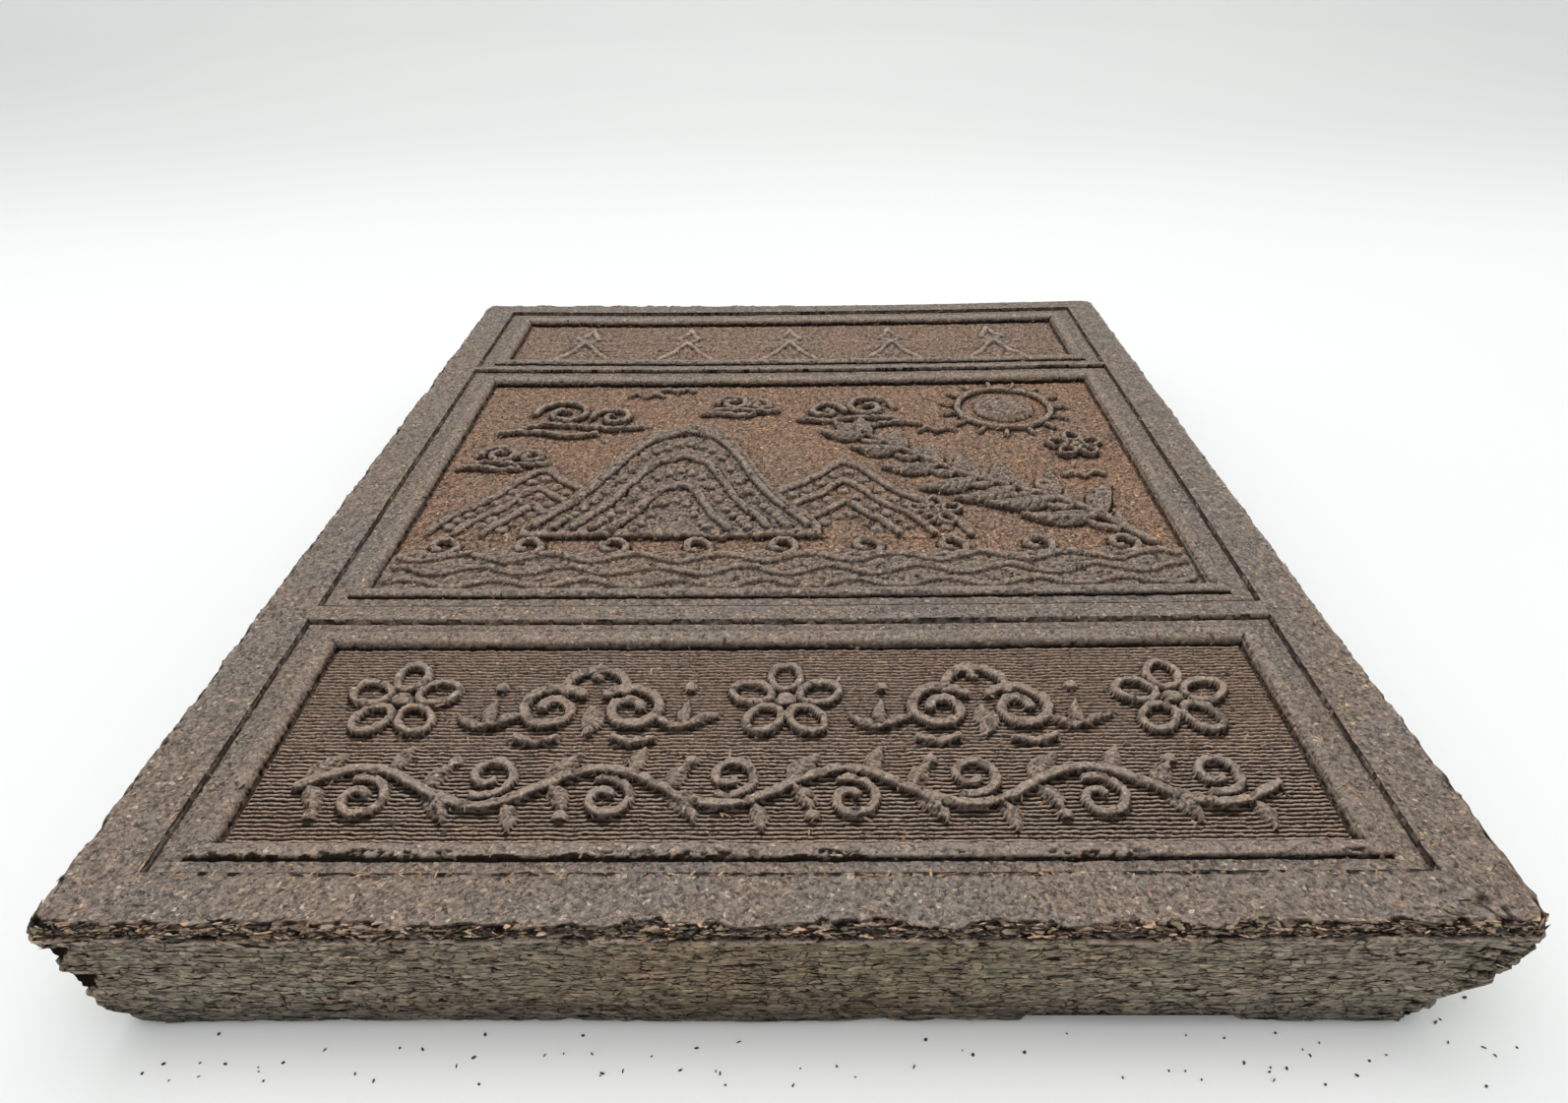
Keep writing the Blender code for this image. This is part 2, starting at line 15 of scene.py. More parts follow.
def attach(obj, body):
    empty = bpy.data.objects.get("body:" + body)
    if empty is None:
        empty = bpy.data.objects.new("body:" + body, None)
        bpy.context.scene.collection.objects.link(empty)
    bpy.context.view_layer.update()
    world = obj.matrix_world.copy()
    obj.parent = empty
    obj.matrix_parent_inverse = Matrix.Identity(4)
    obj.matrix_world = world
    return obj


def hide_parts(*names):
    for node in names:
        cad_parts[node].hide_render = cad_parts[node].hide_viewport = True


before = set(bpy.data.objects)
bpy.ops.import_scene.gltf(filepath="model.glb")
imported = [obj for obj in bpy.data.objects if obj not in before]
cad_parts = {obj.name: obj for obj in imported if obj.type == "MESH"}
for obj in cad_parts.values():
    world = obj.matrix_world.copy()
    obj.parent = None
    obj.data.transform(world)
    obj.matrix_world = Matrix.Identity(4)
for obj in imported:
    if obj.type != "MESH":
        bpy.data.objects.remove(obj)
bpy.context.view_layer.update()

LOG = logging.getLogger("tea_brick")
MM = 0.001
Array = np.ndarray
Point = tuple[float, float]
Colour = tuple[float, float, float, float]
Stops = tuple[tuple[float, Colour], ...]

# ---- sizes shared with the solid

WIDTH = 188 * MM
LENGTH = 237 * MM
THICKNESS = 24 * MM
NEAR_FLARE = 1.3 * MM
UNDERSIDE_SHIFT = (-2.2 * MM, -1.3 * MM)
BOW = 0.9 * MM
SIDE_RIM = 9.0 * MM
STEP_DEPTH = 0.9 * MM
BEAD_START = 3.7 * MM
BEAD_HEIGHT = 0.85 * MM
FLOOR_INSET = 7.2 * MM
ORNAMENT_NEAR_STRIP = 2.9 * MM
ORNAMENT_FAR_STRIP = 2.7 * MM
FLOOR_DEPTH = 2.2 * MM
STROKE_HEIGHT = 1.5 * MM
STROKE_WIDTH = 2.2 * MM

HALF_WIDTH = WIDTH / 2
HALF_LENGTH = LENGTH / 2
PANEL_HALF_WIDTH = HALF_WIDTH - SIDE_RIM
FLOOR_Z = THICKNESS - FLOOR_DEPTH
FLOOR_HALF_WIDTH = PANEL_HALF_WIDTH - FLOOR_INSET
ORNAMENT_NEAR = -109.0 * MM
ORNAMENT_FAR = -51.5 * MM
PICTURE_NEAR = -47.0 * MM
PICTURE_FAR = 65.5 * MM
STARS_NEAR = 67.3 * MM
STARS_FAR = 112.0 * MM
TUCK_DEPTH = 1.6 * MM  # how far a strip's border lies under the rim that covers it


def sagged(x: Array, y: Array, z: Array) -> Array:
    """Heights after the slow sag along the middle of the slab.

    Args:
        x, y: Places across the slab and along it.
        z: Heights of the flat slab there.

    Returns:
        The heights of the sagged slab.
    """
    across = np.maximum(0.0, 1 - (x / HALF_WIDTH) ** 2)
    return z - BOW * (0.75 + 0.25 * y / HALF_LENGTH) * across * z / THICKNESS


# ---- random fields, each picked by a seed of its own so that no two line up


# large odd factors that spread the bits of a lattice point, and the step from seed to seed
MIXERS = (0x9E3779B97F4A7C15, 0xC2B2AE3D27D4EB4F, 0xBF58476D1CE4E5B9, 0x94D049BB133111EB)
SEED_STEP = 0x165667B19E37


def lattice(column: Array, row: Array, seed: int) -> Array:
    """Random numbers from 0 to 1 at lattice points, the same for the same point and seed.

    Args:
        column, row: Whole numbers that count the lattice's columns and rows.
        seed: Picks one of many lattices.

    Returns:
        One number for each point.
    """
    first, second, third, fourth = (np.uint64(factor) for factor in MIXERS)
    mixed = column.astype(np.int64).astype(np.uint64) * first
    mixed = mixed ^ (row.astype(np.int64).astype(np.uint64) * second)
    mixed = mixed + np.uint64(seed * SEED_STEP % 2**63)
    mixed = (mixed ^ (mixed >> np.uint64(29))) * third
    mixed = (mixed ^ (mixed >> np.uint64(32))) * fourth
    return (mixed >> np.uint64(11)).astype(np.float64) / 2.0**53


def noise(x: Array, y: Array, size: float, seed: int) -> Array:
    """Smooth noise from -1 to 1.

    Args:
        x, y: Places along the two axes.
        size: Width of its lumps.
        seed: Picks the noise.

    Returns:
        The noise at each place.
    """
    u, v = x / size, y / size
    column, row = np.floor(u), np.floor(v)
    u, v = u - column, v - row
    u, v = u * u * (3 - 2 * u), v * v * (3 - 2 * v)
    low = lattice(column, row, seed) * (1 - u) + lattice(column + 1, row, seed) * u
    high = lattice(column, row + 1, seed) * (1 - u) + lattice(column + 1, row + 1, seed) * u
    return 2 * (low * (1 - v) + high * v) - 1


def layered(x: Array, y: Array, size: float, seed: int, layers: int = 3) -> Array:
    """Noise with finer and weaker noise laid over it.

    Args:
        x, y: Places along the two axes.
        size: Width of the widest lumps.
        seed: Picks the noise.
        layers: How many noises are summed, each half as wide as the last.

    Returns:
        The sum at each place, about -1 to 1.
    """
    total = np.zeros(np.broadcast(x, y).shape)
    for layer in range(layers):
        total += noise(x, y, size / 2**layer, seed + layer) / 2**layer
    return total / 1.5


def flakes(x: Array, y: Array, size: float, seed: int) -> tuple[Array, Array, Array]:
    """Flat irregular cells, as pressed leaf bits make.

    Args:
        x, y: Places along the two axes.
        size: Mean width of a cell.
        seed: Picks the cells.

    Returns:
        A random number for the cell each place is in, the cell's slope there from -1 to 1,
        and how far the place is from the cell's border, 0 at the border.
    """
    u, v = x / size, y / size
    column, row = np.floor(u), np.floor(v)
    best = np.full(u.shape, 9.0)
    second = np.full(u.shape, 9.0)
    ident = np.zeros(u.shape)
    slope = np.zeros(u.shape)
    for i in (-1, 0, 1):
        for j in (-1, 0, 1):
            first = lattice(column + i, row + j, seed)
            other = lattice(column + i, row + j, seed + 101)
            dx = column + i + 0.1 + 0.8 * first - u
            dy = row + j + 0.1 + 0.8 * other - v
            away = np.hypot(dx, dy)
            nearer = away < best
            second = np.where(nearer, best, np.minimum(second, away))
            best = np.where(nearer, away, best)
            # sums of the cell's two numbers give it two more
            number = (first * 7.31 + other * 3.77) % 1.0
            turn = tau * ((first * 5.13 + other * 9.71) % 1.0)
            ident = np.where(nearer, number, ident)
            slope = np.where(nearer, dx * np.cos(turn) + dy * np.sin(turn), slope)
    return ident, slope, (second - best) * size


def eased(value: Array, low: float, high: float) -> Array:
    """A smooth step from 0 at low to 1 at high."""
    share = np.clip((value - low) / (high - low), 0.0, 1.0)
    return share * share * (3 - 2 * share)


def pressed_grain(x: Array, y: Array) -> Array:
    """Heights of the leaf bits in the face's surface, in millimetres before wear."""
    ident, slope, border = flakes(x, y, 1.05 * MM, 51)
    return 0.15 * (ident - 0.5) + 0.12 * slope - 0.05 * eased(-border, -0.12 * MM, 0.0)


def blurred(grid: Array, rows: int, columns: int) -> Array:
    """Means over a window of a grid.

    Args:
        grid: The grid.
        rows, columns: Half the window's height and width.

    Returns:
        A grid of the same shape.
    """
    for axis, reach in ((0, rows), (1, columns)):
        widths = [(0, 0), (0, 0)]
        widths[axis] = (reach + 1, reach)
        summed = np.cumsum(np.pad(grid, widths, mode="edge"), axis=axis)
        length = grid.shape[axis]
        upper = np.take(summed, np.arange(2 * reach + 1, 2 * reach + 1 + length), axis=axis)
        lower = np.take(summed, np.arange(length), axis=axis)
        grid = (upper - lower) / (2 * reach + 1)
    return grid


# ---- paths in the plane of the face


def turned(x: float, y: float, angle: float) -> Point:
    """The point x, y turned about the origin by an angle in degrees."""
    cosine, sine = cos(radians(angle)), sin(radians(angle))
    return x * cosine - y * sine, x * sine + y * cosine


def moved(point: Point, offset: Point) -> Point:
    """A point shifted by an offset."""
    return point[0] + offset[0], point[1] + offset[1]


def beside(x: Array, y: Array, start: Point, end: Point) -> tuple[Array, Array]:
    """Where places lie beside a stroke.

    Args:
        x, y: The places.
        start, end: The stroke's two ends.

    Returns:
        How far along the stroke each place is, 0 to 1, and how far away from it.
    """
    run_x, run_y = end[0] - start[0], end[1] - start[1]
    from_x, from_y = x - start[0], y - start[1]
    along = np.clip((from_x * run_x + from_y * run_y) / max(run_x**2 + run_y**2, 1e-12), 0.0, 1.0)
    return along, np.hypot(from_x - along * run_x, from_y - along * run_y)


def arc(centre: Point, radius: float, start: float, end: float, steps: int) -> list[Point]:
    """Points along an arc, with its angles in degrees."""
    angles = [start + (end - start) * i / steps for i in range(steps + 1)]
    return [moved(centre, turned(radius, 0, angle)) for angle in angles]


def spiral(centre: Point, outer: float, inner: float, start: float, turns: float) -> list[Point]:
    """Points of a spiral from its outer end inwards.

    Args:
        centre: Its middle.
        outer, inner: Radii at its outer and inner ends.
        start: Angle of the outer end, in degrees.
        turns: Number of turns, negative for clockwise.

    Returns:
        The points, about 12 degrees apart.
    """
    steps = max(8, round(abs(turns) * 30))
    points = []
    for i in range(steps + 1):
        share = i / steps
        radius = outer + (inner - outer) * share
        points.append(moved(centre, turned(radius, 0, start + 360 * turns * share)))
    return points


# ---- the moulded face as a height field


# sections of round bosses, as shares of the radius and heights
DOT = ((0.0, 1.4 * MM), (0.5, 1.3 * MM), (0.8, 0.9 * MM), (1.0, 0.0))
EYE = ((0.0, 1.1 * STROKE_HEIGHT), (0.5, 1.05 * STROKE_HEIGHT), (0.85, 0.8 * STROKE_HEIGHT), (1.0, 0.0))
SUN = ((0.0, 1.4 * MM), (0.3, 1.38 * MM), (0.66, 1.2 * MM), (0.92, 0.75 * MM), (1.0, 0.0))


class Ground:
    """The height of the face over a grid of columns and rows, and what is known of each point."""

    def __init__(self, xs: Array, ys: Array) -> None:
        """Starts a plain face at the rim's level.

        Args:
            xs, ys: Places of the columns and of the rows.
        """
        self.xs, self.ys = xs, ys
        self.x, self.y = np.meshgrid(xs, ys)
        self.wx = self.x + 0.12 * MM * layered(self.x, self.y, 1.5 * MM, 3, 2)
        self.wy = self.y + 0.12 * MM * layered(self.x, self.y, 1.5 * MM, 13, 2)
        self.ux = self.wx + 0.08 * MM * layered(self.x, self.y, 0.8 * MM, 23, 2)
        self.uy = self.wy + 0.08 * MM * layered(self.x, self.y, 0.8 * MM, 37, 2)
        self.z = np.full(self.x.shape, THICKNESS)
        self.rough = np.full(self.x.shape, 0.45)
        self.relief, self.floor, self.gap = (np.zeros(self.x.shape) for _ in range(3))
        self.pale, self.valley, self.top = (np.zeros(self.x.shape) for _ in range(3))

    def window(self, low: Point, high: Point) -> tuple[slice, ...]:
        """The part of the grid in a box.

        Args:
            low, high: The box's lowest and highest corners.

        Returns:
            Slices of rows and columns, which are empty where the box misses the grid.
        """
        rows = np.searchsorted(self.ys, (low[1], high[1]))
        columns = np.searchsorted(self.xs, (low[0], high[0]))
        return slice(*rows), slice(*columns)

    def raise_to(self, height: Array, part: tuple[slice, ...] = np.s_[:, :]) -> None:
        """Lifts the relief in a part of the grid to a height, where it isn't higher yet."""
        self.relief[part] = np.maximum(self.relief[part], height)

    def darken(self, darkness: Array) -> None:
        """Makes the painted shade and the gaps at least as dark as given."""
        self.gap = np.maximum(self.gap, darkness)

    def lighten(self, paleness: Array, part: tuple[slice, ...] = np.s_[:, :]) -> None:
        """Makes a part of the grid at least as pale as given, for pale tones, worn crests and painted
        highlight.
        """
        self.pale[part] = np.maximum(self.pale[part], paleness)

    def ridge(
        self, path: Sequence[Point], width: float = STROKE_WIDTH, height: float = STROKE_HEIGHT,
        widths: Optional[Sequence[float]] = None, closed: bool = False,
    ) -> None:
        """Raises a ridge with a rounded crown and steep sides along a path.

        Args:
            path: Points along its middle.
            width, height: Its width, and its height above the floor.
            widths: Shares of the width, one for each point.
            closed: Whether the last point joins the first.
        """
        points = list(path)
        shares = list(widths or [1.0] * len(points))
        if closed:
            points.append(points[0])
            shares.append(shares[0])
        nearest = np.full(self.x.shape, 9.0)
        for (x0, y0), (x1, y1), w0, w1 in zip(points, points[1:], shares, shares[1:]):
            margin = 0.5 * width * max(w0, w1) + 0.3 * MM
            low = (min(x0, x1) - margin, min(y0, y1) - margin)
            high = (max(x0, x1) + margin, max(y0, y1) + margin)
            part = self.window(low, high)
            along, away = beside(self.ux[part], self.uy[part], (x0, y0), (x1, y1))
            half = 0.5 * width * (w0 + (w1 - w0) * along)
            nearest[part] = np.minimum(nearest[part], away / half)
        crown = 1 - 0.16 * np.minimum(nearest, 1.0) ** 2
        self.raise_to(height * crown * eased(-nearest, -0.98, -0.62))

    def leaf(
        self, base: Point, angle: float, length: float, width: float, height: float = STROKE_HEIGHT
    ) -> None:
        """Raises a pointed leaf with a midrib and side veins, bent a little to its left.

        Args:
            base: Where its stalk end lies.
            angle: Where it points, in degrees.
            length, width: Its length and its greatest width.
            height: Height of its midrib above the floor.
        """
        tip = moved(base, turned(length, 0, angle))
        low = (min(base[0], tip[0]) - width, min(base[1], tip[1]) - width)
        high = (max(base[0], tip[0]) + width, max(base[1], tip[1]) + width)
        part = self.window(low, high)
        cosine, sine = cos(radians(angle)), sin(radians(angle))
        across_x, across_y = self.ux[part] - base[0], self.uy[part] - base[1]
        share = (across_x * cosine + across_y * sine) / length
        inside = np.clip(share, 0.0, 1.0)
        bend = 0.10 * length * np.sin(pi * inside)
        aside = -across_x * sine + across_y * cosine - bend
        half = 0.5 * width * (0.08 + 0.92 * np.sin(pi * inside**0.8))
        beyond = np.maximum(np.abs(aside) - half, np.maximum(-share, share - 1) * length)
        roof = 1 - 0.38 * np.clip(np.abs(aside) / half, 0.0, 1.0)
        vein = np.abs((share * 7 - np.abs(aside) / half * 1.1) % 1.0 - 0.5)
        roof -= 0.12 * eased(-vein, -0.18, -0.05) * (np.abs(aside) < 0.85 * half)
        self.raise_to(height * roof * eased(-beyond, -0.22 * MM, 0.10 * MM), part)

    def dome(self, centre: Point, radius: float, heights: Sequence[Point]) -> None:
        """Raises a round boss.

        Args:
            centre, radius: Its middle and its outer radius.
            heights: Pairs of share of the radius and height above the floor, from the middle out.
        """
        part = self.window(moved(centre, (-radius, -radius)), moved(centre, (radius, radius)))
        away = np.hypot(self.ux[part] - centre[0], self.uy[part] - centre[1]) / radius
        shares, levels = zip(*heights)
        self.raise_to(np.interp(away, shares, levels), part)

    def blossom(self, centre: Point, reach: float) -> None:
        """Raises a flower of five petals, seen from above.

        Args:
            centre: Its middle.
            reach: From its middle to a petal's tip.
        """
        for angle in range(90, 450, 72):
            petal = []
            for step in range(18):
                turn = pi * step / 9
                out = reach * (0.6 - 0.34 * cos(turn))
                petal.append(moved(centre, turned(out, 0.26 * reach * sin(turn), angle)))
            self.ridge(petal, 0.17 * reach, closed=True)
        self.dome(centre, 0.2 * reach, EYE)

    def panel(self, near: float, far: float) -> None:
        """Sinks a panel: its step, its strip, its bead and its floor.

        Args:
            near, far: Where its outer step lies on the near side and on the far one.
        """
        strip = THICKNESS - STEP_DEPTH
        crest = strip + BEAD_HEIGHT
        bead = ((0.65, 0.12), (1.2, 0.0), (1.7, 0.03), (2.3, 0.2), (2.75, 0.5), (3.05, 0.95))
        section = (
            (0.0, strip + 0.15 * MM),
            (0.2 * MM, strip),
            (BEAD_START - 0.08 * MM, strip - 0.08 * MM),
            (BEAD_START + 0.1 * MM, strip + 0.14 * MM),
            (BEAD_START + 0.28 * MM, strip + 0.52 * MM),
            *((BEAD_START + aside * MM, crest - drop * MM) for aside, drop in bead),
            (BEAD_START + 3.25 * MM, FLOOR_Z + 0.25 * MM),
            (FLOOR_INSET, FLOOR_Z - 0.12 * MM),
            (FLOOR_INSET + 0.45 * MM, FLOOR_Z),
        )
        aside = PANEL_HALF_WIDTH - np.abs(self.wx)
        before, behind = self.wy - near, far - self.wy
        if near < PICTURE_NEAR:
            before = Ground.narrowed(before, ORNAMENT_NEAR_STRIP)
            behind = Ground.narrowed(behind, ORNAMENT_FAR_STRIP)
        inset = np.minimum(aside, np.minimum(before, behind))
        broken = eased(layered(self.x, self.y, 4 * MM, 29), -0.35, 0.15)
        # painted shade over shallow grooves: dark lines along the feet of the steps, the bead and the floor's
        # edge, darkest where they face the near end
        groove = np.zeros(self.x.shape)
        for border, foot, width, strength, depth in (
            (aside, 0.12 * MM, 0.11 * MM, 0.60 + 0.30 * broken, 0.35 * MM),
            (behind, 0.14 * MM, 0.17 * MM, 0.80 + 0.20 * broken, 0.40 * MM),
            (before, 0.12 * MM, 0.13 * MM, 0.20 + 0.60 * broken, 0.22 * MM),
            (before, BEAD_START + 0.02 * MM, 0.17 * MM, 1.0, 0.35 * MM),
            (aside, FLOOR_INSET - 0.15 * MM, 0.15 * MM, 0.70, 0.10 * MM),
            (behind, FLOOR_INSET - 0.20 * MM, 0.17 * MM, 1.0, 0.15 * MM),
        ):
            line = np.exp(-(((border - foot) / width) ** 2)) * (border < inset + 0.02 * MM)
            self.darken(strength * np.minimum(2.4 * line, 1.0))
            groove = np.maximum(groove, strength * depth * line)
        # painted shade in pits between the grains on the bead's near slope
        lump, _, away = flakes(self.wx * 0.7, self.wy, 0.8 * MM, 35)
        patchy = eased(noise(self.x, self.y * 0.3, 7 * MM, 33) + 0.5 * broken, 0.0, 0.6)
        slope = before - BEAD_START - 0.5 * MM + 0.35 * MM * noise(self.x, self.x * 0, 1.3 * MM, 39)
        pits = (lump < 0.55) * eased(away, 0.0, 0.12 * MM) * patchy * (aside > BEAD_START)
        pits = pits * eased(-np.abs(slope), -0.8 * MM, -0.45 * MM)
        self.darken((0.95 if near < PICTURE_NEAR else 0.6) * pits)
        groove = np.maximum(groove, 0.25 * MM * pits)
        if near < PICTURE_NEAR:
            # painted shade: its foot lies in the dark, up to a ragged line and mostly on the left
            high = 0.38 + 0.5 * layered(self.x, self.y * 0.6, 1.4 * MM, 45)
            high = high * eased(-self.x, -24 * MM, -4 * MM) * MM - (before - BEAD_START)
            dim = eased(high, 0.0, 0.1 * MM) * (before > BEAD_START - 0.1 * MM) * (aside > BEAD_START)
            self.darken(0.96 * dim)
        insets, levels = zip(*section)
        within = inset > 0
        worn = 0.10 * MM * layered(self.x, self.y, 5 * MM, 31) * eased(inset, 3.2 * MM, 4.5 * MM)
        level = np.interp(inset, insets, levels) + worn - groove
        self.z = np.where(within, level, self.z)
        self.rough = np.where(within, 0.5 + 0.5 * eased(inset, 3 * MM, 7 * MM), self.rough)
        self.floor = np.where(within, eased(inset, 6.6 * MM, 7.4 * MM), self.floor)

    @staticmethod
    def narrowed(inset: Array, strip: float) -> Array:
        """Insets as the section counts them, on a side whose strip from step to bead is narrower."""
        return inset + (BEAD_START - strip) * np.clip(inset / strip, 0.0, 1.0)

    def press(self) -> None:
        """Joins the relief to the floors, wears it, and presses the grain of leaf bits into the face."""
        # painted shadow along the near foot of whatever stands up, and on its near slope
        rows = max(1, round(1.05 * MM / float(np.mean(np.diff(self.ys)))))
        beyond = np.roll(self.relief, -rows, axis=0) - self.relief
        on_slope = eased(beyond, 0.12 * MM, 0.35 * MM) * (self.relief > 0.55 * MM)
        dust = np.maximum(eased(beyond, 0.5 * MM, 0.8 * MM), on_slope)
        dust *= 0.9 + 0.1 * noise(self.x, self.y, 1.2 * MM, 49)
        self.darken(0.97 * dust * np.where(self.y < PICTURE_NEAR, 1.0, 0.85))
        # painted shade in the ribs' valleys and painted highlight on their crests
        bare = self.relief < 0.5 * MM
        self.darken(0.97 * self.valley * bare)
        self.lighten(1.5 * self.top * bare)
        # the near panel's stroke tops made pale, partly worn and partly painted highlight, but not in the
        # painted shadow
        crown = eased(self.relief, 1.05 * MM, 1.35 * MM) * (self.y < PICTURE_NEAR)
        self.lighten(0.55 * crown * (1 - dust))
        wear = 1 - 0.14 * layered(self.x, self.y, 2.6 * MM, 41)
        wear -= 0.35 * eased(noise(self.x, self.y, 5 * MM, 47), 0.55, 0.95)
        chip, _, away = flakes(self.ux, self.uy, 1.5 * MM, 43)
        chipped = (chip < 0.12) * eased(away, 0.0, 0.3 * MM) * (self.relief > 0.5 * MM)
        wear -= 0.25 * chipped
        self.darken(0.4 * chipped)
        self.z += self.floor * self.relief * wear
        self.rough += 0.3 * self.floor * (self.relief > 0.5 * MM)
        grain = pressed_grain(self.wx, self.wy)
        ident, slope, _ = flakes(self.wx + 0.6 * MM, self.wy, 2.6 * MM, 57)
        grain += 0.10 * (ident - 0.5) * (ident > 0.35) + 0.08 * slope
        grain += 0.04 * noise(self.x, self.y, 0.45 * MM, 61)
        self.z += MM * self.rough * grain
        self.z += 0.10 * MM * layered(self.x, self.y, 22 * MM, 67)


@dataclass
class Ribs:
    """The fine ribs that run across the floor of the near panel."""

    near: float = ORNAMENT_NEAR + FLOOR_INSET - BEAD_START + ORNAMENT_NEAR_STRIP + 0.35 * MM
    far: float = ORNAMENT_FAR - FLOOR_INSET + BEAD_START - ORNAMENT_FAR_STRIP - 0.35 * MM
    count: int = 55
    height: float = 0.46 * MM

    @property
    def pitch(self) -> float:
        """Distance from one rib to the next."""
        return (self.far - self.near) / self.count

    def raise_on(self, ground: Ground) -> None:
        """Raises the ribs on a ground.

        Args:
            ground: The ground it stands on.
        """
        phase = (ground.y - self.near) / self.pitch
        crest = 1 - np.abs(2 * (phase % 1.0) - 1) ** 1.7
        fine = layered(ground.x, ground.y * 0.35, 5 * MM, 71)
        whole = 0.92 - 0.35 * eased(fine, 0.25, 0.8)
        level = self.height * crest * whole
        within = (phase > 0) & (phase < self.count) & (np.abs(ground.x) < FLOOR_HALF_WIDTH - 0.35 * MM)
        ground.raise_to(level * within)
        # the valleys get painted shade and the crests painted highlight
        away = np.abs((phase + 0.5) % 1.0 - 0.5)
        reach = np.interp(ground.y, (self.near, self.near + 4 * MM, self.near + 20 * MM), (0.36, 0.46, 0.37))
        ground.valley = eased(reach - away, 0.0, 0.22) * (0.78 + 0.22 * whole) * within
        ground.top = eased(away, 0.24, 0.42) * whole * within


@dataclass
class OrnamentPanel:
    """The near panel: blossoms and cloud heads in a row over a running vine."""

    row_y: float = -72.2 * MM
    row_spacing: float = 31 * MM
    row_length: int = 5
    blossom_reach: float = 9.6 * MM
    vine_y: float = -91.8 * MM
    vine_bends: int = 8
    vine_reach: float = 17.8 * MM
    vine_swing: float = 3.7 * MM

    def cloud_head(self, ground: Ground, centre: Point) -> None:
        """Raises a cloud head: two lobes under a crown, with a drop between them.

        Args:
            ground: The ground it stands on.
            centre: The middle between its lobes.
        """
        x, y = centre
        for side in (1, -1):
            lobe = (x + side * 6.3 * MM, y - 2.2 * MM)
            ground.ridge(spiral(lobe, 5.6 * MM, 1.6 * MM, 90 + side * 50, -side * 1.35))
            tail = [(x + side * 4.4 * MM, y - 9.0 * MM), (x + side * 7.4 * MM, y - 10.2 * MM)]
            ground.ridge([*tail, (x + side * 10.6 * MM, y - 9.0 * MM)], 0.7 * STROKE_WIDTH)
        ground.ridge(arc((x, y + 3.0 * MM), 5.0 * MM, -10, 190, 16))
        ground.leaf((x, y - 1.6 * MM), -90, 7.0 * MM, 3.8 * MM)
        ground.leaf((x, y + 5.2 * MM), 90, 4.4 * MM, 3.0 * MM)

    def filling(self, ground: Ground) -> None:
        """Raises a small three-leaved sprig in each space of the row."""
        for i in range(self.row_length - 1):
            x = (i + 0.5 - (self.row_length - 1) / 2) * self.row_spacing
            for angle in (90, 28, 152):
                ground.leaf((x, self.row_y - 6.4 * MM), angle, 6.4 * MM, 2.2 * MM)
            ground.dome((x, self.row_y + 3.4 * MM), 1.3 * MM, DOT)

    def vine(self, ground: Ground) -> None:
        """Raises the running vine with a curl and a leaf at each bend.

        Args:
            ground: The ground it stands on.
        """
        stem = []
        for i in range(self.vine_bends * 12 + 1):
            bends = i / 12
            swing = self.vine_swing * sin(pi * bends)
            stem.append(((bends - self.vine_bends / 2) * self.vine_reach, self.vine_y + swing))
        ground.ridge(stem, 0.9 * STROKE_WIDTH)
        for i in range(self.vine_bends):
            side = 1 if i % 2 == 0 else -1
            x = (i + 0.5 - self.vine_bends / 2) * self.vine_reach
            curl = (x + 0.8 * MM, self.vine_y - side * 2.4 * MM)
            path = spiral(curl, 4.3 * MM, 1.3 * MM, side * 110, -side * 1.15)
            ground.ridge(path, 0.8 * STROKE_WIDTH, 1.35 * MM)
            foot = (x - 0.44 * self.vine_reach, self.vine_y + side * 0.4 * MM)
            ground.leaf(foot, side * 58, 7.6 * MM, 4.0 * MM, 1.425 * MM)
            ground.leaf(foot, side * -62, 6.0 * MM, 3.0 * MM, 1.425 * MM)
            tip = (x + 0.24 * self.vine_reach, self.vine_y + side * 7.4 * MM)
            ground.leaf((tip[0], tip[1] - side * 4.2 * MM), side * 75, 5.6 * MM, 2.6 * MM, 1.35 * MM)
            ground.dome((x - 0.28 * self.vine_reach, self.vine_y - side * 5.6 * MM), 1.25 * MM, DOT)

    def raise_on(self, ground: Ground) -> None:
        """Raises the whole panel's relief on a ground.

        Args:
            ground: The ground it stands on.
        """
        Ribs().raise_on(ground)
        for i in range(self.row_length):
            centre = ((i - self.row_length // 2) * self.row_spacing, self.row_y)
            if i % 2 == 0:
                ground.blossom(centre, self.blossom_reach)
            else:
                self.cloud_head(ground, centre)
        self.filling(ground)
        self.vine(ground)


@dataclass
class Hill:
    """One hill of the landscape."""

    middle: float
    half_width: float
    height: float
    thickness: float

    def rise(self, x: Any, size: float = 1.0) -> Any:
        """The skyline's height over the hill's foot, at places across the panel."""
        share = np.clip((x - self.middle) / (self.half_width * size), -1.0, 1.0)
        hump = 1 - np.abs(share) ** 1.3 + 0.05 * np.sin(9 * share + self.middle * 60)
        return self.height * size * hump


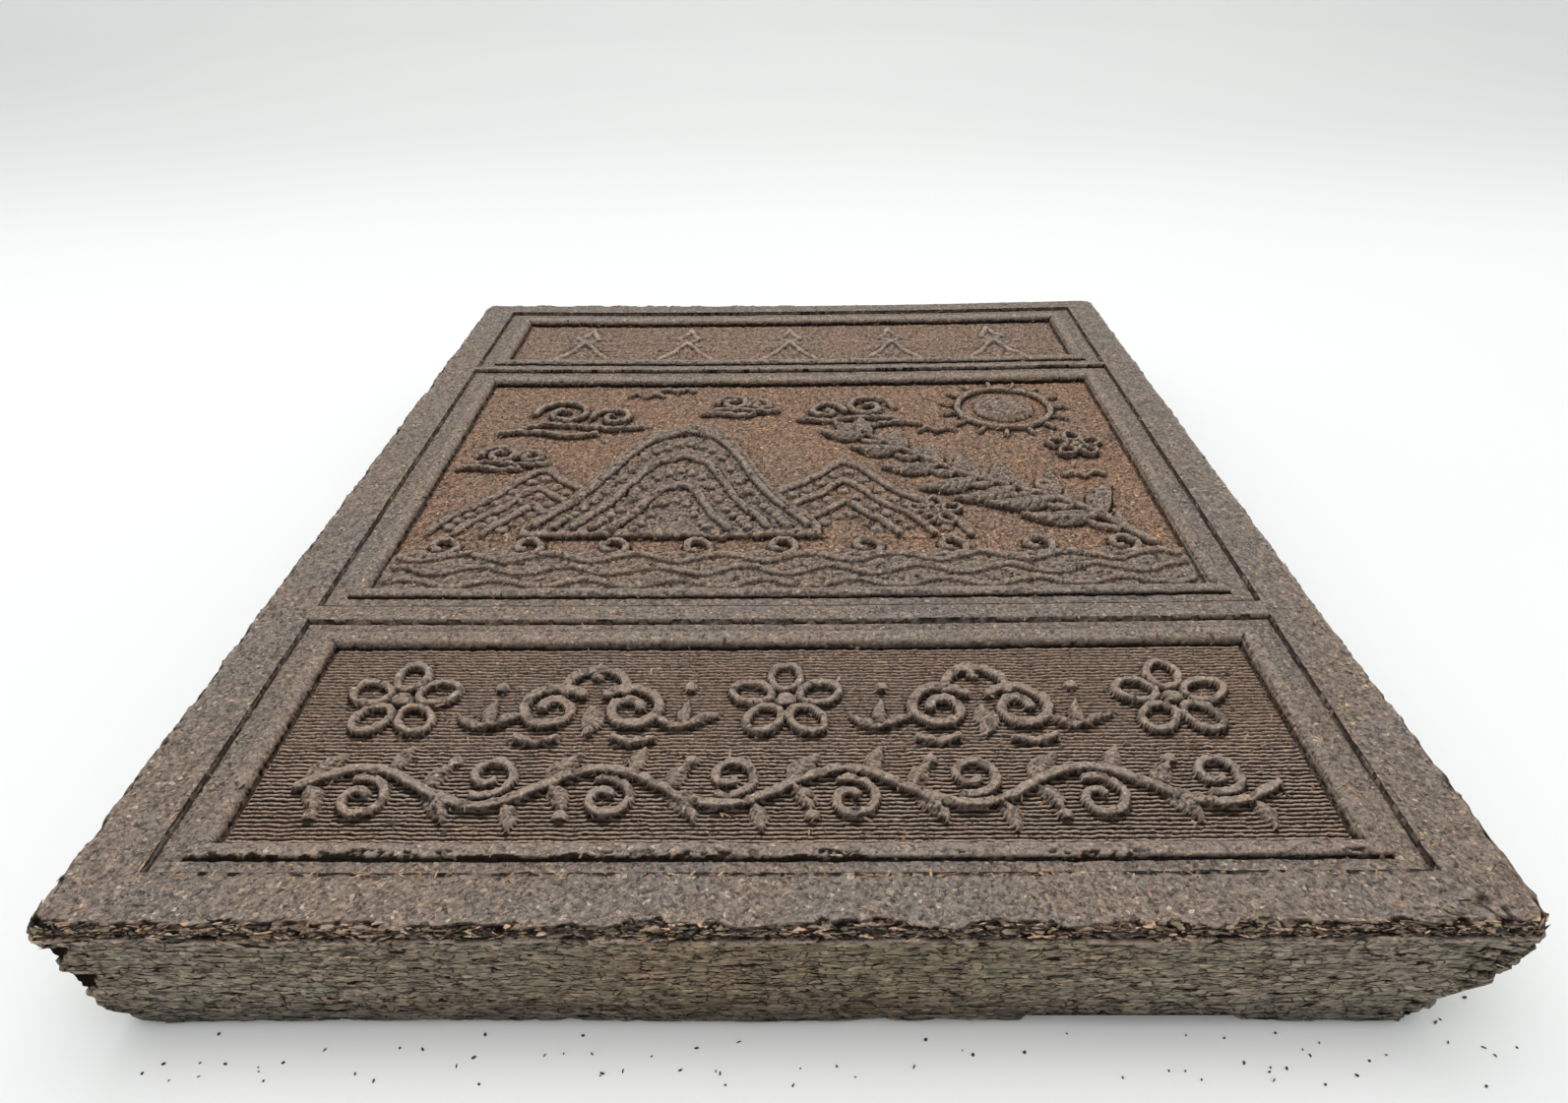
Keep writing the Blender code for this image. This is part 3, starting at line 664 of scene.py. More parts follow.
@dataclass
class Landscape:
    """The middle panel: hills behind waves, clouds, a sun and a leafy sprig."""

    hills: tuple[Hill, ...] = (
        Hill(-54 * MM, 22 * MM, 31 * MM, 0.35 * MM),
        Hill(12 * MM, 28 * MM, 34 * MM, 0.4 * MM),
        Hill(-24 * MM, 31 * MM, 55 * MM, 1.25 * MM),
    )
    bands: tuple[float, ...] = (0.9, 0.64, 0.38)
    bushes: tuple[float, ...] = (0.77, 0.51, 0.25)
    birds: tuple[Point, ...] = (
        (-37 * MM, 51 * MM), (-29 * MM, 54 * MM), (36 * MM, 29 * MM), (66 * MM, 5 * MM),
    )
    clouds: tuple[tuple[Point, float, int], ...] = (  # middle, size and the side of the tails
        ((-56 * MM, 40 * MM), 1.45, 1), ((20 * MM, 43 * MM), 1.25, -1),
        ((-14 * MM, 46 * MM), 0.8, 1), ((-67 * MM, 17 * MM), 0.85, 1),
    )
    hill_foot: float = PICTURE_NEAR + FLOOR_INSET + 21 * MM
    waves: int = 9
    wave_rows: int = 3
    wave_spacing: float = 4.6 * MM
    wave_swell: float = 1.3 * MM
    sun_centre: Point = (54 * MM, 42 * MM)
    sun_radius: float = 7.6 * MM
    sun_ring: float = 11.6 * MM
    sprig_foot: Point = (73 * MM, -24 * MM)
    sprig_reach: Point = (-54 * MM, 49 * MM)
    sprig_pairs: int = 7

    def raise_hills(self, ground: Ground) -> None:
        """Raises the hills, each a low plate with banded slopes.

        Args:
            ground: The ground it stands on.
        """
        base = self.hill_foot
        for hill in self.hills:
            top = base + hill.rise(ground.wx)
            within = np.minimum((top - ground.wy) * 0.6, ground.wy - base + 1.5 * MM)
            within = np.minimum(within, hill.half_width - np.abs(ground.wx - hill.middle))
            ground.raise_to(hill.thickness * eased(within, 0.0, 0.35 * MM))
            for size in self.bands:
                xs = [hill.middle + hill.half_width * size * (2 * i / 40 - 1) for i in range(41)]
                path = [(x, base + hill.rise(x, size)) for x in xs]
                ground.ridge(path, height=hill.thickness + 0.8 * MM)
            for size in self.bushes:
                self.raise_bushes(ground, hill, size)

    def raise_bushes(self, ground: Ground, hill: Hill, size: float) -> None:
        """Raises a row of round bushes along a hill's slope, between two of its bands.

        Args:
            ground: The ground it stands on.
            hill: The hill.
            size: Size of the slope that the row lies on, against the whole hill.
        """
        half = hill.half_width * size
        count = max(2, round(2 * half * hypot(1.0, hill.height / hill.half_width) / (3.3 * MM)))
        crown = hill.thickness + 0.7 * MM
        section = ((0.0, crown), (0.45, 0.95 * crown), (0.8, 0.6 * crown), (1.0, 0.0))
        for i in range(count + 1):
            x = hill.middle + half * sin(pi * (i / count - 0.5))
            y = self.hill_foot + hill.rise(x, size)
            if y > self.hill_foot + 1.2 * MM:
                ground.dome((x, y), 1.55 * MM, section)

    def raise_waves(self, ground: Ground) -> None:
        """Raises rows of waves with a row of curls behind them.

        Args:
            ground: The ground it stands on.
        """
        reach = FLOOR_HALF_WIDTH - 1.5 * MM
        first = PICTURE_NEAR + FLOOR_INSET + 2.4 * MM
        shore = first + (self.wave_rows - 1) * self.wave_spacing + 1.6 * MM - ground.wy
        shore += self.wave_swell * np.sin(pi * self.waves * (ground.wx + reach) / reach)
        plate = eased(shore, -0.2 * MM, 0.3 * MM) * (ground.y > PICTURE_NEAR)
        ground.raise_to(0.85 * MM * plate)
        ground.lighten(0.1 * plate)
        steps = self.waves * 16
        for row in range(2 * self.wave_rows - 1):
            path = []
            for i in range(steps + 1):
                swell = self.wave_swell * sin(pi * i / 8 + row * pi / 4)
                path.append((-reach + 2 * reach * i / steps, first + row * self.wave_spacing / 2 + swell))
            width, height = (1.9, 1.3) if row % 2 == 0 else (0.9, 0.7)
            ground.ridge(path, width * MM, height * MM)
        back = first + (self.wave_rows - 1) * self.wave_spacing
        for i in range(self.waves):
            centre = (-reach + 2 * reach * (i + 0.42) / self.waves, back + 4.0 * MM)
            ground.ridge(spiral(centre, 3.9 * MM, 1.2 * MM, -120, 1.05), 1.8 * MM, 1.35 * MM)

    def raise_cloud(self, ground: Ground, centre: Point, size: float, side: int) -> None:
        """Raises a cloud of two curls with two tails.

        Args:
            ground: The ground it stands on.
            centre: Middle of its larger curl.
            size: Its size against the plain cloud.
            side: 1 where its tails run to the right, -1 to the left.
        """
        x, y = centre
        start = 180 if side > 0 else 0
        second = (x + 8.6 * MM * size * side, y - 1.6 * MM * size)
        large = spiral(centre, 5.2 * MM * size, 1.3 * MM, start, -1.3 * side)
        small = spiral(second, 3.8 * MM * size, 1.2 * MM, start, -1.15 * side)
        for path in (large, small):
            ground.ridge(path, 1.9 * MM, 1.35 * MM)
        for begin, reach, drop in ((-5.2, 19, 0), (-9.5, 16, 2.6)):
            path = []
            for i in range(17):
                share = i / 16
                swell = 0.8 * sin(tau * share)
                tail_x = x + side * (begin + reach * share) * size * MM
                path.append((tail_x, y - (5.2 + drop - swell) * size * MM))
            ground.ridge(path, 1.7 * MM, 1.2 * MM)

    def raise_sun(self, ground: Ground) -> None:
        """Raises the sun and the ring round it.

        Args:
            ground: The ground it stands on.
        """
        ground.dome(self.sun_centre, self.sun_radius, SUN)
        ring = arc(self.sun_centre, self.sun_ring, 0, 345, 46)
        ground.ridge(ring, 1.8 * MM, 1.1 * MM, closed=True)
        for angle in range(0, 360, 24):
            ray = [moved(self.sun_centre, turned(radius * MM, 0, angle)) for radius in (13.2, 15.6)]
            ground.ridge(ray, 1.2 * MM, 1.0 * MM)

    def raise_bird(self, ground: Ground, centre: Point) -> None:
        """Raises a bird as two bent strokes."""
        wing = ((-4.2, 0.6), (-2.4, 2.0), (0.0, 0.0), (2.4, 2.0), (4.2, 0.6))
        ground.ridge([moved(centre, (x * MM, y * MM)) for x, y in wing], 1.3 * MM, 1.0 * MM)

    def raise_sprig(self, ground: Ground) -> None:
        """Raises the sprig: a bent stem, pairs of leaves, a bud and two blossoms.

        Args:
            ground: The ground it stands on.
        """
        stem = []
        for i in range(self.sprig_pairs + 1):
            share = i / self.sprig_pairs
            rise = self.sprig_reach[1] * share**0.85 + 2.5 * MM * sin(2.4 * pi * share)
            stem.append(moved(self.sprig_foot, (self.sprig_reach[0] * share, rise)))
        widths = [1.25 - 0.7 * i / self.sprig_pairs for i in range(len(stem))]
        ground.ridge(stem, 2.0 * MM, 1.3 * MM, widths)
        run = 0.0
        for i in range(1, len(stem)):
            step = (stem[i][0] - stem[i - 1][0], stem[i][1] - stem[i - 1][1])
            middle = moved(stem[i - 1], (0.5 * step[0], 0.5 * step[1]))
            run = degrees(atan2(step[1], step[0]))
            for side in (1, -1):
                length = (16.5 - 0.9 * i + 1.2 * side) * MM
                ground.leaf(stem[i], run + side * (58 - 3 * i), length, 5.2 * MM)
                ground.leaf(middle, run + side * 34, 0.5 * length, 2.6 * MM, 0.8 * STROKE_HEIGHT)
        ground.leaf(stem[-1], run, 11 * MM, 4.0 * MM)
        ground.blossom((67 * MM, 20 * MM), 6.6 * MM)
        ground.blossom((31 * MM, -11 * MM), 6.0 * MM)

    def raise_on(self, ground: Ground) -> None:
        """Raises the whole landscape on a ground.

        Args:
            ground: The ground it stands on.
        """
        self.raise_hills(ground)
        self.raise_waves(ground)
        for cloud in self.clouds:
            self.raise_cloud(ground, *cloud)
        for bird in self.birds:
            self.raise_bird(ground, bird)
        self.raise_sun(ground)
        self.raise_sprig(ground)


@dataclass
class StarRow:
    """The row of plain stars in the far panel."""

    count: int = 5
    spacing: float = 29.3 * MM
    radius: float = 12.6 * MM
    waist: float = 0.4
    height: float = 1.1 * MM
    line_width: float = 2.1 * MM
    line_height: float = 0.5 * MM
    row_y: float = (STARS_NEAR + STARS_FAR) / 2 - 1.0 * MM

    def raise_star(self, ground: Ground, centre: Point) -> None:
        """Raises one star: facets that rise to its middle, with pale ridges on some of its lines, partly worn
        and partly painted highlight.

        Args:
            ground: The ground it stands on.
            centre: Its middle.
        """
        reach = self.radius + self.line_width
        part = ground.window(moved(centre, (-reach, -reach)), moved(centre, (reach, reach)))
        across_x, across_y = ground.wx[part] - centre[0], ground.wy[part] - centre[1]
        away = np.hypot(across_x, across_y) + 1e-9
        half_arm = pi / 5
        angle = np.arctan2(across_y, across_x) - pi / 2
        angle = np.abs((angle + half_arm) % (2 * half_arm) - half_arm)
        inner = self.waist * self.radius
        border = self.radius * inner * sin(half_arm)
        border /= self.radius * np.sin(half_arm - angle) + inner * np.sin(angle)
        share = away / border
        facets = 0.15 * MM + (self.height - 0.15 * MM) * (1 - share)
        level = np.maximum(facets, 0.0) * eased(-share, -1.04, -0.97)
        ridge = np.zeros(level.shape)
        tips = [turned(self.radius, 0, 90 + 72 * i) for i in range(5)]
        waists = [turned(inner, 0, 54 + 72 * i) for i in range(5)]
        lines = [(tips[0], waists[0], 1.0), (tips[0], waists[1], 1.0)]
        for pair, strength in ((tips[2:4], 1.0), ((tips[1], tips[4]), 0.45), (waists[:2], 0.55)):
            lines += [(end, (0.0, 0.0), strength) for end in pair]
        for start, end, strength in lines:
            aside = beside(across_x, across_y, start, end)[1] / self.line_width
            ridge = np.maximum(ridge, strength * eased(-aside, -0.5, -0.12))
        ground.raise_to(level + self.line_height * ridge, part)
        # the pale lines: partly worn, partly painted highlight
        ground.lighten(1.35 * ridge * (0.75 + 0.6 * noise(ground.x[part], ground.y[part], 1.6 * MM, 73)), part)

    def raise_on(self, ground: Ground) -> None:
        """Raises the whole row on a ground."""
        for i in range(self.count):
            self.raise_star(ground, ((i - (self.count - 1) / 2) * self.spacing, self.row_y))


# ---- meshes


@dataclass
class Surface:
    """Quads that the small bits are scattered over, with a weight for each kind at each point."""

    points: Array
    quads: Array
    weights: dict[str, Array]
    along: Array


def plain_mesh(name: str, points: Array, quads: Array, caps: Sequence[Array] = ()) -> Mesh:
    """A mesh from arrays.

    Args:
        name: Its name.
        points: One row of x, y and z for each point.
        quads: One row of four point numbers for each face.
        caps: Rings of point numbers, each closed by one face.

    Returns:
        The mesh, with smooth faces.
    """
    mesh = bpy.data.meshes.new(name)
    loops = np.concatenate([quads.ravel(), *[np.asarray(cap) for cap in caps]]).astype(np.int32)
    sizes = np.concatenate([np.full(len(quads), 4), [len(cap) for cap in caps]]).astype(np.int32)
    starts = np.concatenate([[0], np.cumsum(sizes)[:-1]]).astype(np.int32)
    mesh.vertices.add(len(points))
    mesh.vertices.foreach_set("co", points.astype(np.float32).ravel())
    mesh.loops.add(len(loops))
    mesh.loops.foreach_set("vertex_index", loops)
    mesh.polygons.add(len(sizes))
    mesh.polygons.foreach_set("loop_start", starts)
    mesh.polygons.foreach_set("use_smooth", np.ones(len(sizes), dtype=bool))
    mesh.update(calc_edges=True)
    mesh.validate()
    return mesh


def grid_quads(number: Array) -> Array:
    """The faces between neighbouring rows and columns of a grid of point numbers."""
    quads = [number[:-1, :-1], number[:-1, 1:], number[1:, 1:], number[1:, :-1]]
    return np.stack(quads, axis=-1).reshape(-1, 4)


def set_numbers(mesh: Mesh, **marks: Array) -> None:
    """Stores numbers for the points of a mesh, 0 past their end, under names that nodes read."""
    for name, values in marks.items():
        padded = np.pad(values.ravel(), (0, len(mesh.vertices) - values.size))
        mesh.attributes.new(name, "FLOAT", "POINT").data.foreach_set("value", padded.astype(np.float32))


def set_along(mesh: Mesh, directions: Array) -> None:
    """Stores the direction along the edge for each point of a mesh."""
    vectors = mesh.attributes.new("along", "FLOAT_VECTOR", "POINT")
    vectors.data.foreach_set("vector", directions.astype(np.float32).ravel())


def add_piece(name: str, mesh: Mesh, *materials: Material) -> Object:
    """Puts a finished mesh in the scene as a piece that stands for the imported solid.

    Args:
        name: The piece's name.
        mesh: Its mesh.
        materials: Its finishes, in the order of the faces' material numbers.

    Returns:
        The piece.
    """
    if mesh.materials:
        mesh.materials.clear()
    for material in materials:
        mesh.materials.append(material)
    piece = bpy.data.objects.new(name, mesh)
    bpy.context.scene.collection.objects.link(piece)
    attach(piece, "root")
    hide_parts("tea_brick")
    triangles = sum(len(face.vertices) - 2 for face in mesh.polygons)
    LOG.info("%s: %d triangles", name, triangles)
    return piece


def with_lines(places: Array, lines: Sequence[float]) -> Array:
    """Places of a grid with more of them round some lines, so that the lines come out crisp.

    Args:
        places: The even places, in order.
        lines: Where the lines lie.

    Returns:
        The places and the new ones that lie between them, in order.
    """
    steps = np.arange(-2, 5) * 0.1 * MM
    extra = (np.array(lines)[:, None] + steps).ravel()
    extra = extra[(extra > places[0]) & (extra < places[-1])]
    merged = np.sort(np.concatenate([places, extra]))
    kept = np.concatenate([[True], np.diff(merged) > 0.03 * MM])
    return merged[kept]


@dataclass
class Strip:
    """One closed strip of the face, as wide as the panels."""

    name: str
    near: float
    far: float
    row_spacing: float
    first_covered: Optional[float] = None  # the rim or bar lies over what is nearer than this
    last_covered: Optional[float] = None  # and over what is farther than this
    lines: tuple[float, ...] = ()  # where its rows lie closer together
    columns: int = 520
    underside: float = THICKNESS - 4.4 * MM
    margin: float = 0.3 * MM

    def rows(self) -> Array:
        """Places of the strip's rows."""
        count = round((self.far - self.near) / self.row_spacing)
        rows = np.linspace(self.near, self.far, count + 1)
        return with_lines(rows, self.lines) if self.lines else rows

    def ground(self) -> Ground:
        """The height field of the strip.

        Returns:
            The finished ground.
        """
        reach = PANEL_HALF_WIDTH + self.margin
        insets = (0.0, BEAD_START, FLOOR_INSET - 0.2 * MM)
        lines = [side * (PANEL_HALF_WIDTH - inset) for side in (-1, 1) for inset in insets]
        ground = Ground(with_lines(np.linspace(-reach, reach, self.columns), lines), self.rows())
        for span in ((ORNAMENT_NEAR, ORNAMENT_FAR), (PICTURE_NEAR, PICTURE_FAR), (STARS_NEAR, STARS_FAR)):
            ground.panel(*span)
        for motif in (OrnamentPanel(), Landscape(), StarRow()):
            motif.raise_on(ground)
        ground.press()
        ground.z = sagged(ground.x, ground.y, ground.z)
        covered = np.abs(ground.x) > PANEL_HALF_WIDTH
        if self.first_covered is not None:
            covered |= ground.y < self.first_covered
        if self.last_covered is not None:
            covered |= ground.y > self.last_covered
        ground.z = np.where(covered, THICKNESS - TUCK_DEPTH - BOW, ground.z)
        return ground

    def build(self, material: Material) -> tuple[Object, Surface]:
        """Makes the strip's piece.

        Args:
            material: The finish of the face.

        Returns:
            The piece, and its upper surface for the scattered bits.
        """
        ground = self.ground()
        rows, columns = ground.x.shape
        top = np.stack([ground.x, ground.y, ground.z], axis=-1).reshape(-1, 3)
        number = np.arange(rows * columns).reshape(rows, columns)
        top_quads = grid_quads(number)
        around = np.concatenate([number[0, :-1], number[:-1, -1], number[-1, :0:-1], number[:0:-1, 0]])
        below = top[around].copy()
        below[:, 2] = self.underside
        low = rows * columns + np.arange(len(around))
        skirt = np.stack([low, np.roll(low, -1), np.roll(around, -1), around], axis=-1)
        points = np.concatenate([top, below])
        mesh = plain_mesh(self.name, points, np.concatenate([top_quads, skirt]), [low[::-1]])
        shade, crest = Strip.painted_shade_and_pale_crests(ground)
        pictured = (ground.y > PICTURE_NEAR) & (ground.y < PICTURE_FAR)
        bare = np.where(pictured, 1.0, 0.65) * (1 - 0.8 * eased(ground.relief, 0.3 * MM, 0.9 * MM))
        set_numbers(mesh, crevice=shade, floor=ground.floor * bare, crumble=np.zeros(1), rubbed=crest)
        clean = 1 - 0.6 * np.minimum(ground.pale, 1.0) * (ground.y > STARS_NEAR)
        clean -= 0.4 * ground.floor * (ground.y < ORNAMENT_FAR)
        weights = {
            "stems": (0.55 + 0.45 * ground.floor) * (1 - 0.4 * (ground.relief > 0.2 * MM)) * clean,
            "shreds": (0.25 + 0.75 * ground.floor) * clean**2,
        }
        along = np.tile([1.0, 0.0, 0.0], (rows * columns, 1))
        return add_piece(self.name, mesh, material), Surface(top, top_quads, weights, along)

    @staticmethod
    def painted_shade_and_pale_crests(ground: Ground) -> tuple[Array, Array]:
        """Painted shade and pale crests.

        Args:
            ground: The finished ground.

        Returns:
            Painted shade in hollows, on slopes that face the near end and in the ground's gaps, and crests
            made pale, partly worn and partly painted highlight, both from 0 to 1.
        """
        row_size = float(np.mean(np.diff(ground.ys)))
        column_size = float(np.mean(np.diff(ground.xs)))
        hollow = np.zeros(ground.z.shape)
        crest = np.zeros(ground.z.shape)
        lower = hollow
        for reach, depth in ((0.45 * MM, 0.16 * MM), (1.3 * MM, 0.7 * MM)):
            rows = max(1, round(reach / row_size))
            columns = max(1, round(reach / column_size))
            lower = (blurred(ground.z, rows, columns) - ground.z) / depth
            hollow += np.clip(lower, -0.5, 1.0)
            crest += 0.5 * np.clip(-lower, -0.3, 1.0)
        # painted shade on steep slopes that face the near end
        facing = eased(np.gradient(ground.z, ground.ys, axis=0), 0.6, 1.8)
        facing *= 0.4 + 0.6 * ground.floor
        hollow = np.maximum(np.clip(hollow, 0.0, 1.0), facing * np.clip(0.85 + 0.9 * lower, 0.65, 0.98))
        crest = np.maximum(np.clip(crest, 0.0, 1.0) * (1 - facing), ground.pale)
        return np.maximum(hollow * (1 - 0.35 * ground.pale), ground.gap), crest


# ---- the slab under the face


CORNER_ROOM = 7 * MM  # what its two corners take off a side, about
Profile = tuple[Array, Array]


def profile(*pairs: Point) -> Profile:
    """Heights and measures at them, in metres, from pairs in millimetres."""
    heights, measures = zip(*pairs)
    return np.array(heights, dtype=float) * MM, np.array(measures, dtype=float) * MM


@dataclass
class Slab:
    """The slab: leaning sides, crumbled top edge and rim, with a tray under the face's strips."""

    near_spacing: float = 0.36 * MM
    side_spacing: float = 1.05 * MM
    far_corner: float = 3.5 * MM
    near_left: Profile = profile(  # radius of the near left corner at each height
        (0, 2.4), (1, 3), (3.5, 4.4), (5.5, 1.2), (11, 0.8), (12.8, 1.9), (14.5, 1), (18, 1.1), (20, 2),
        (22, 1.5), (24, 2.4),
    )
    near_right: Profile = profile(  # and of the near right one
        (0, 0.9), (1, 1.5), (3, 4), (6, 6.3), (8, 5.4), (10, 3), (12, 0.8), (16, 0.8), (20, 1.3), (22, 2),
        (24, 3),
    )
    section: Profile = profile(  # how far the side lies inside the outline at each height
        (0, 6.2), (0.8, 4.8), (4, 3.57), (9, 2.56), (13, 1.76), (21.8, 0.25), (22.8, 0), (23.6, 0)
    )
    band_depth: float = 2.0 * MM  # of the crumbled band under the top edge
    tray_z: float = THICKNESS - 5.2 * MM

    def ring(self, inset: float, z: float) -> tuple[Array, Array]:
        """The stations round the slab on a ring.

        Args:
            inset: How far the ring lies inside the outline.
            z: The ring's height, which sets the radii of the two near corners.

        Returns:
            The stations' places and their outward directions, one row each.
        """
        far = max(self.far_corner - inset * 0.35, 1.0 * MM)
        near_left, near_right = (float(np.interp(z, *radii)) for radii in (self.near_left, self.near_right))
        corners = []
        for x, y, radius in ((-1, -1, near_left), (1, -1, near_right), (1, 1, far), (-1, 1, far)):
            middle = np.array([x * (HALF_WIDTH - inset - radius), y * (HALF_LENGTH - inset - radius)])
            corners.append((middle, radius))
        places, directions = [], []

        def bend(corner: tuple[Array, float], start: float, steps: int) -> None:
            """Adds the stations of an eighth of a turn round a corner."""
            angles = np.radians(np.linspace(start, start + 45, steps, endpoint=False))
            turn = np.stack([np.cos(angles), np.sin(angles)], axis=-1)
            places.append(corner[0] + corner[1] * turn)
            directions.append(turn)

        for side, whole in enumerate((WIDTH, LENGTH, WIDTH, LENGTH)):
            heading = -90 + 90 * side
            bends, spacing = (7, self.near_spacing) if side == 0 else (4, self.side_spacing)
            first, last = corners[side], corners[(side + 1) % 4]
            bend(first, heading - 45, bends)
            out = np.array([cos(radians(heading)), sin(radians(heading))])
            straight_steps = round((whole - CORNER_ROOM) / spacing)
            share = np.linspace(0, 1, straight_steps, endpoint=False)[:, None]
            start, end = first[0] + first[1] * out, last[0] + last[1] * out
            places.append(start + (end - start) * share)
            directions.append(np.repeat(out[None, :], straight_steps, axis=0))
            bend(last, heading, bends)
        return np.concatenate(places), np.concatenate(directions)

    @staticmethod
    def placed(ring: Array, z: float) -> Array:
        """A ring at height z, flared towards the near end and shifted as the slab leans."""
        share = z / THICKNESS
        flare = 1 + NEAR_FLARE * (0.5 - ring[:, 1] / LENGTH) * share / HALF_WIDTH
        wide = np.stack([ring[:, 0] * flare, ring[:, 1]], axis=-1)
        return wide + np.array(UNDERSIDE_SHIFT) * (1 - share)

    def inner_edge(self, places: Array) -> Array:
        """Where each station ends on the step round the panels.

        Args:
            places: The stations on the outer ring.

        Returns:
            Their places on the step, with the corners of the two rings matched.
        """
        corners = [(-PANEL_HALF_WIDTH, ORNAMENT_NEAR), (PANEL_HALF_WIDTH, ORNAMENT_NEAR)]
        corners += [(PANEL_HALF_WIDTH, STARS_FAR), (-PANEL_HALF_WIDTH, STARS_FAR)]
        outer = ((HALF_WIDTH, -HALF_LENGTH), (HALF_WIDTH, HALF_LENGTH), (-HALF_WIDTH, HALF_LENGTH))
        turns = [int(np.argmin(np.hypot(*(places - corner).T))) for corner in np.array(outer)]
        limits = [0, *turns, len(places)]
        inner = np.zeros_like(places)
        closed = np.concatenate([places, places[:1]])
        for side in range(4):
            first, last = limits[side], limits[side + 1]
            run = np.hypot(*np.diff(closed[first : last + 1], axis=0).T)
            share = np.concatenate([[0], np.cumsum(run)])[:-1] / run.sum()
            start, end = np.array(corners[side]), np.array(corners[(side + 1) % 4])
            inner[first:last] = start + (end - start) * share[:, None]
        return inner

    def wear(self, x: Array, y: Array, z: Array) -> tuple[Array, Array, Array]:
        """How far the near side is worn, as on the solid.

        Args:
            x, y, z: The points of the clean slab.

        Returns:
            How far each point moves in, how far up, and how much painted shade lies in the hollow there.
        """

        def hump(value: Array, low: float, high: float) -> Array:
            """A hump with steep ends between low and high, 1 in its middle."""
            share = np.clip((value - low * MM) / ((high - low) * MM), 0.0, 1.0)
            return np.sin(pi * share) ** 0.5

        near = y < -HALF_LENGTH + 10 * MM
        ragged_x = x + 1.2 * MM * noise(x, z, 2.2 * MM, 81)
        shard, lean, _ = flakes(x * 0.6 + y, z, 1.1 * MM, 83)
        ragged_z = z + MM * (0.8 * (shard - 0.5) + 0.6 * lean)
        scallop = hump(ragged_x, 33, 63) * (ragged_z < 3.5 * MM)
        inward = 1.4 * MM * scallop
        inward += 1.1 * MM * hump(ragged_x, 83.5, 88) * (ragged_z < 4.2 * MM)
        right = eased(x, HALF_WIDTH - 10 * MM, HALF_WIDTH - 6 * MM)
        # two notches with painted shade in the near left corner, each a wedge that narrows downwards
        inset = np.interp(z, *self.section)
        from_left = x + HALF_WIDTH - inset - UNDERSIDE_SHIFT[0] * (1 - z / THICKNESS)
        from_left += MM * (0.7 * (shard - 0.5) + 0.5 * noise(x, z, 1.4 * MM, 87))
        notch = np.zeros(x.shape)
        for low, high, reach in ((16.8, 20.8, 4.0), (8.9, 14.4, 4.0)):
            share = (ragged_z / MM - low) / (high - low)
            wedge = reach * MM * np.clip(share, 0.0, 1.0) ** 0.6 - from_left
            notch = np.maximum(notch, eased(wedge, 0.0, 0.5 * MM) * (share > 0) * (share < 1))
        inward += 0.6 * MM * notch
        # both near corners break off in thin level layers
        inset += 2 * MM
        at_corner = eased(np.abs(x) + inset, HALF_WIDTH - 7 * MM, HALF_WIDTH)
        at_corner *= eased(-y + inset, HALF_LENGTH - 7 * MM, HALF_LENGTH)
        plate, _, _ = flakes(0.3 * (x + y), z, 0.9 * MM, 89)
        inward += 0.6 * MM * (plate - 0.5) * at_corner
        layer = eased(np.sin(tau * (z + 0.35 * (x - HALF_WIDTH)) / (2.5 * MM) + 1.2), 0.3, 0.7)
        layer *= right * eased(-np.abs(ragged_z - 16 * MM), -5 * MM, -3.5 * MM)
        layer *= eased(noise(x, z, 3 * MM, 85), -0.8, -0.2)
        inward += 0.45 * MM * layer
        # painted shade in the notches and between the right corner's layers
        dark = np.clip(notch + layer, 0.0, 1.0)
        return inward * near, 1.2 * MM * scallop * near, dark * near

    def levels(self) -> list[tuple[float, float, float, float, float]]:
        """The rings of the slab's section.

        Returns:
            For each ring its inset, its height, how far its displacement goes out and up, and its
            distance from the top edge: negative down the side and positive in over the rim.
        """
        heights, insets = self.section
        low = np.array([0.0, 0.25, 0.8]) * MM
        side = np.append(np.linspace(1.4 * MM, 11.6 * MM, 13), np.linspace(12.1 * MM, 21.2 * MM, 19))
        band = np.linspace(21.5 * MM, 23.4 * MM, 9)
        rings = []
        for z in np.concatenate([low, side, band]):
            out = 0.0 if z == 0 else 1.0
            inset = float(np.interp(z, heights, insets))
            rings.append((inset, float(z), out, 0.0, float(z - THICKNESS)))
        for inset, z, out, up in ((0.10, 23.8, 0.9, 0.4), (0.25, 23.93, 0.6, 0.8), (0.45, 24.0, 0.25, 1.0)):
            rings.append((inset * MM, z * MM, out, up, (inset - 0.25) * MM * 0.8))
        return rings

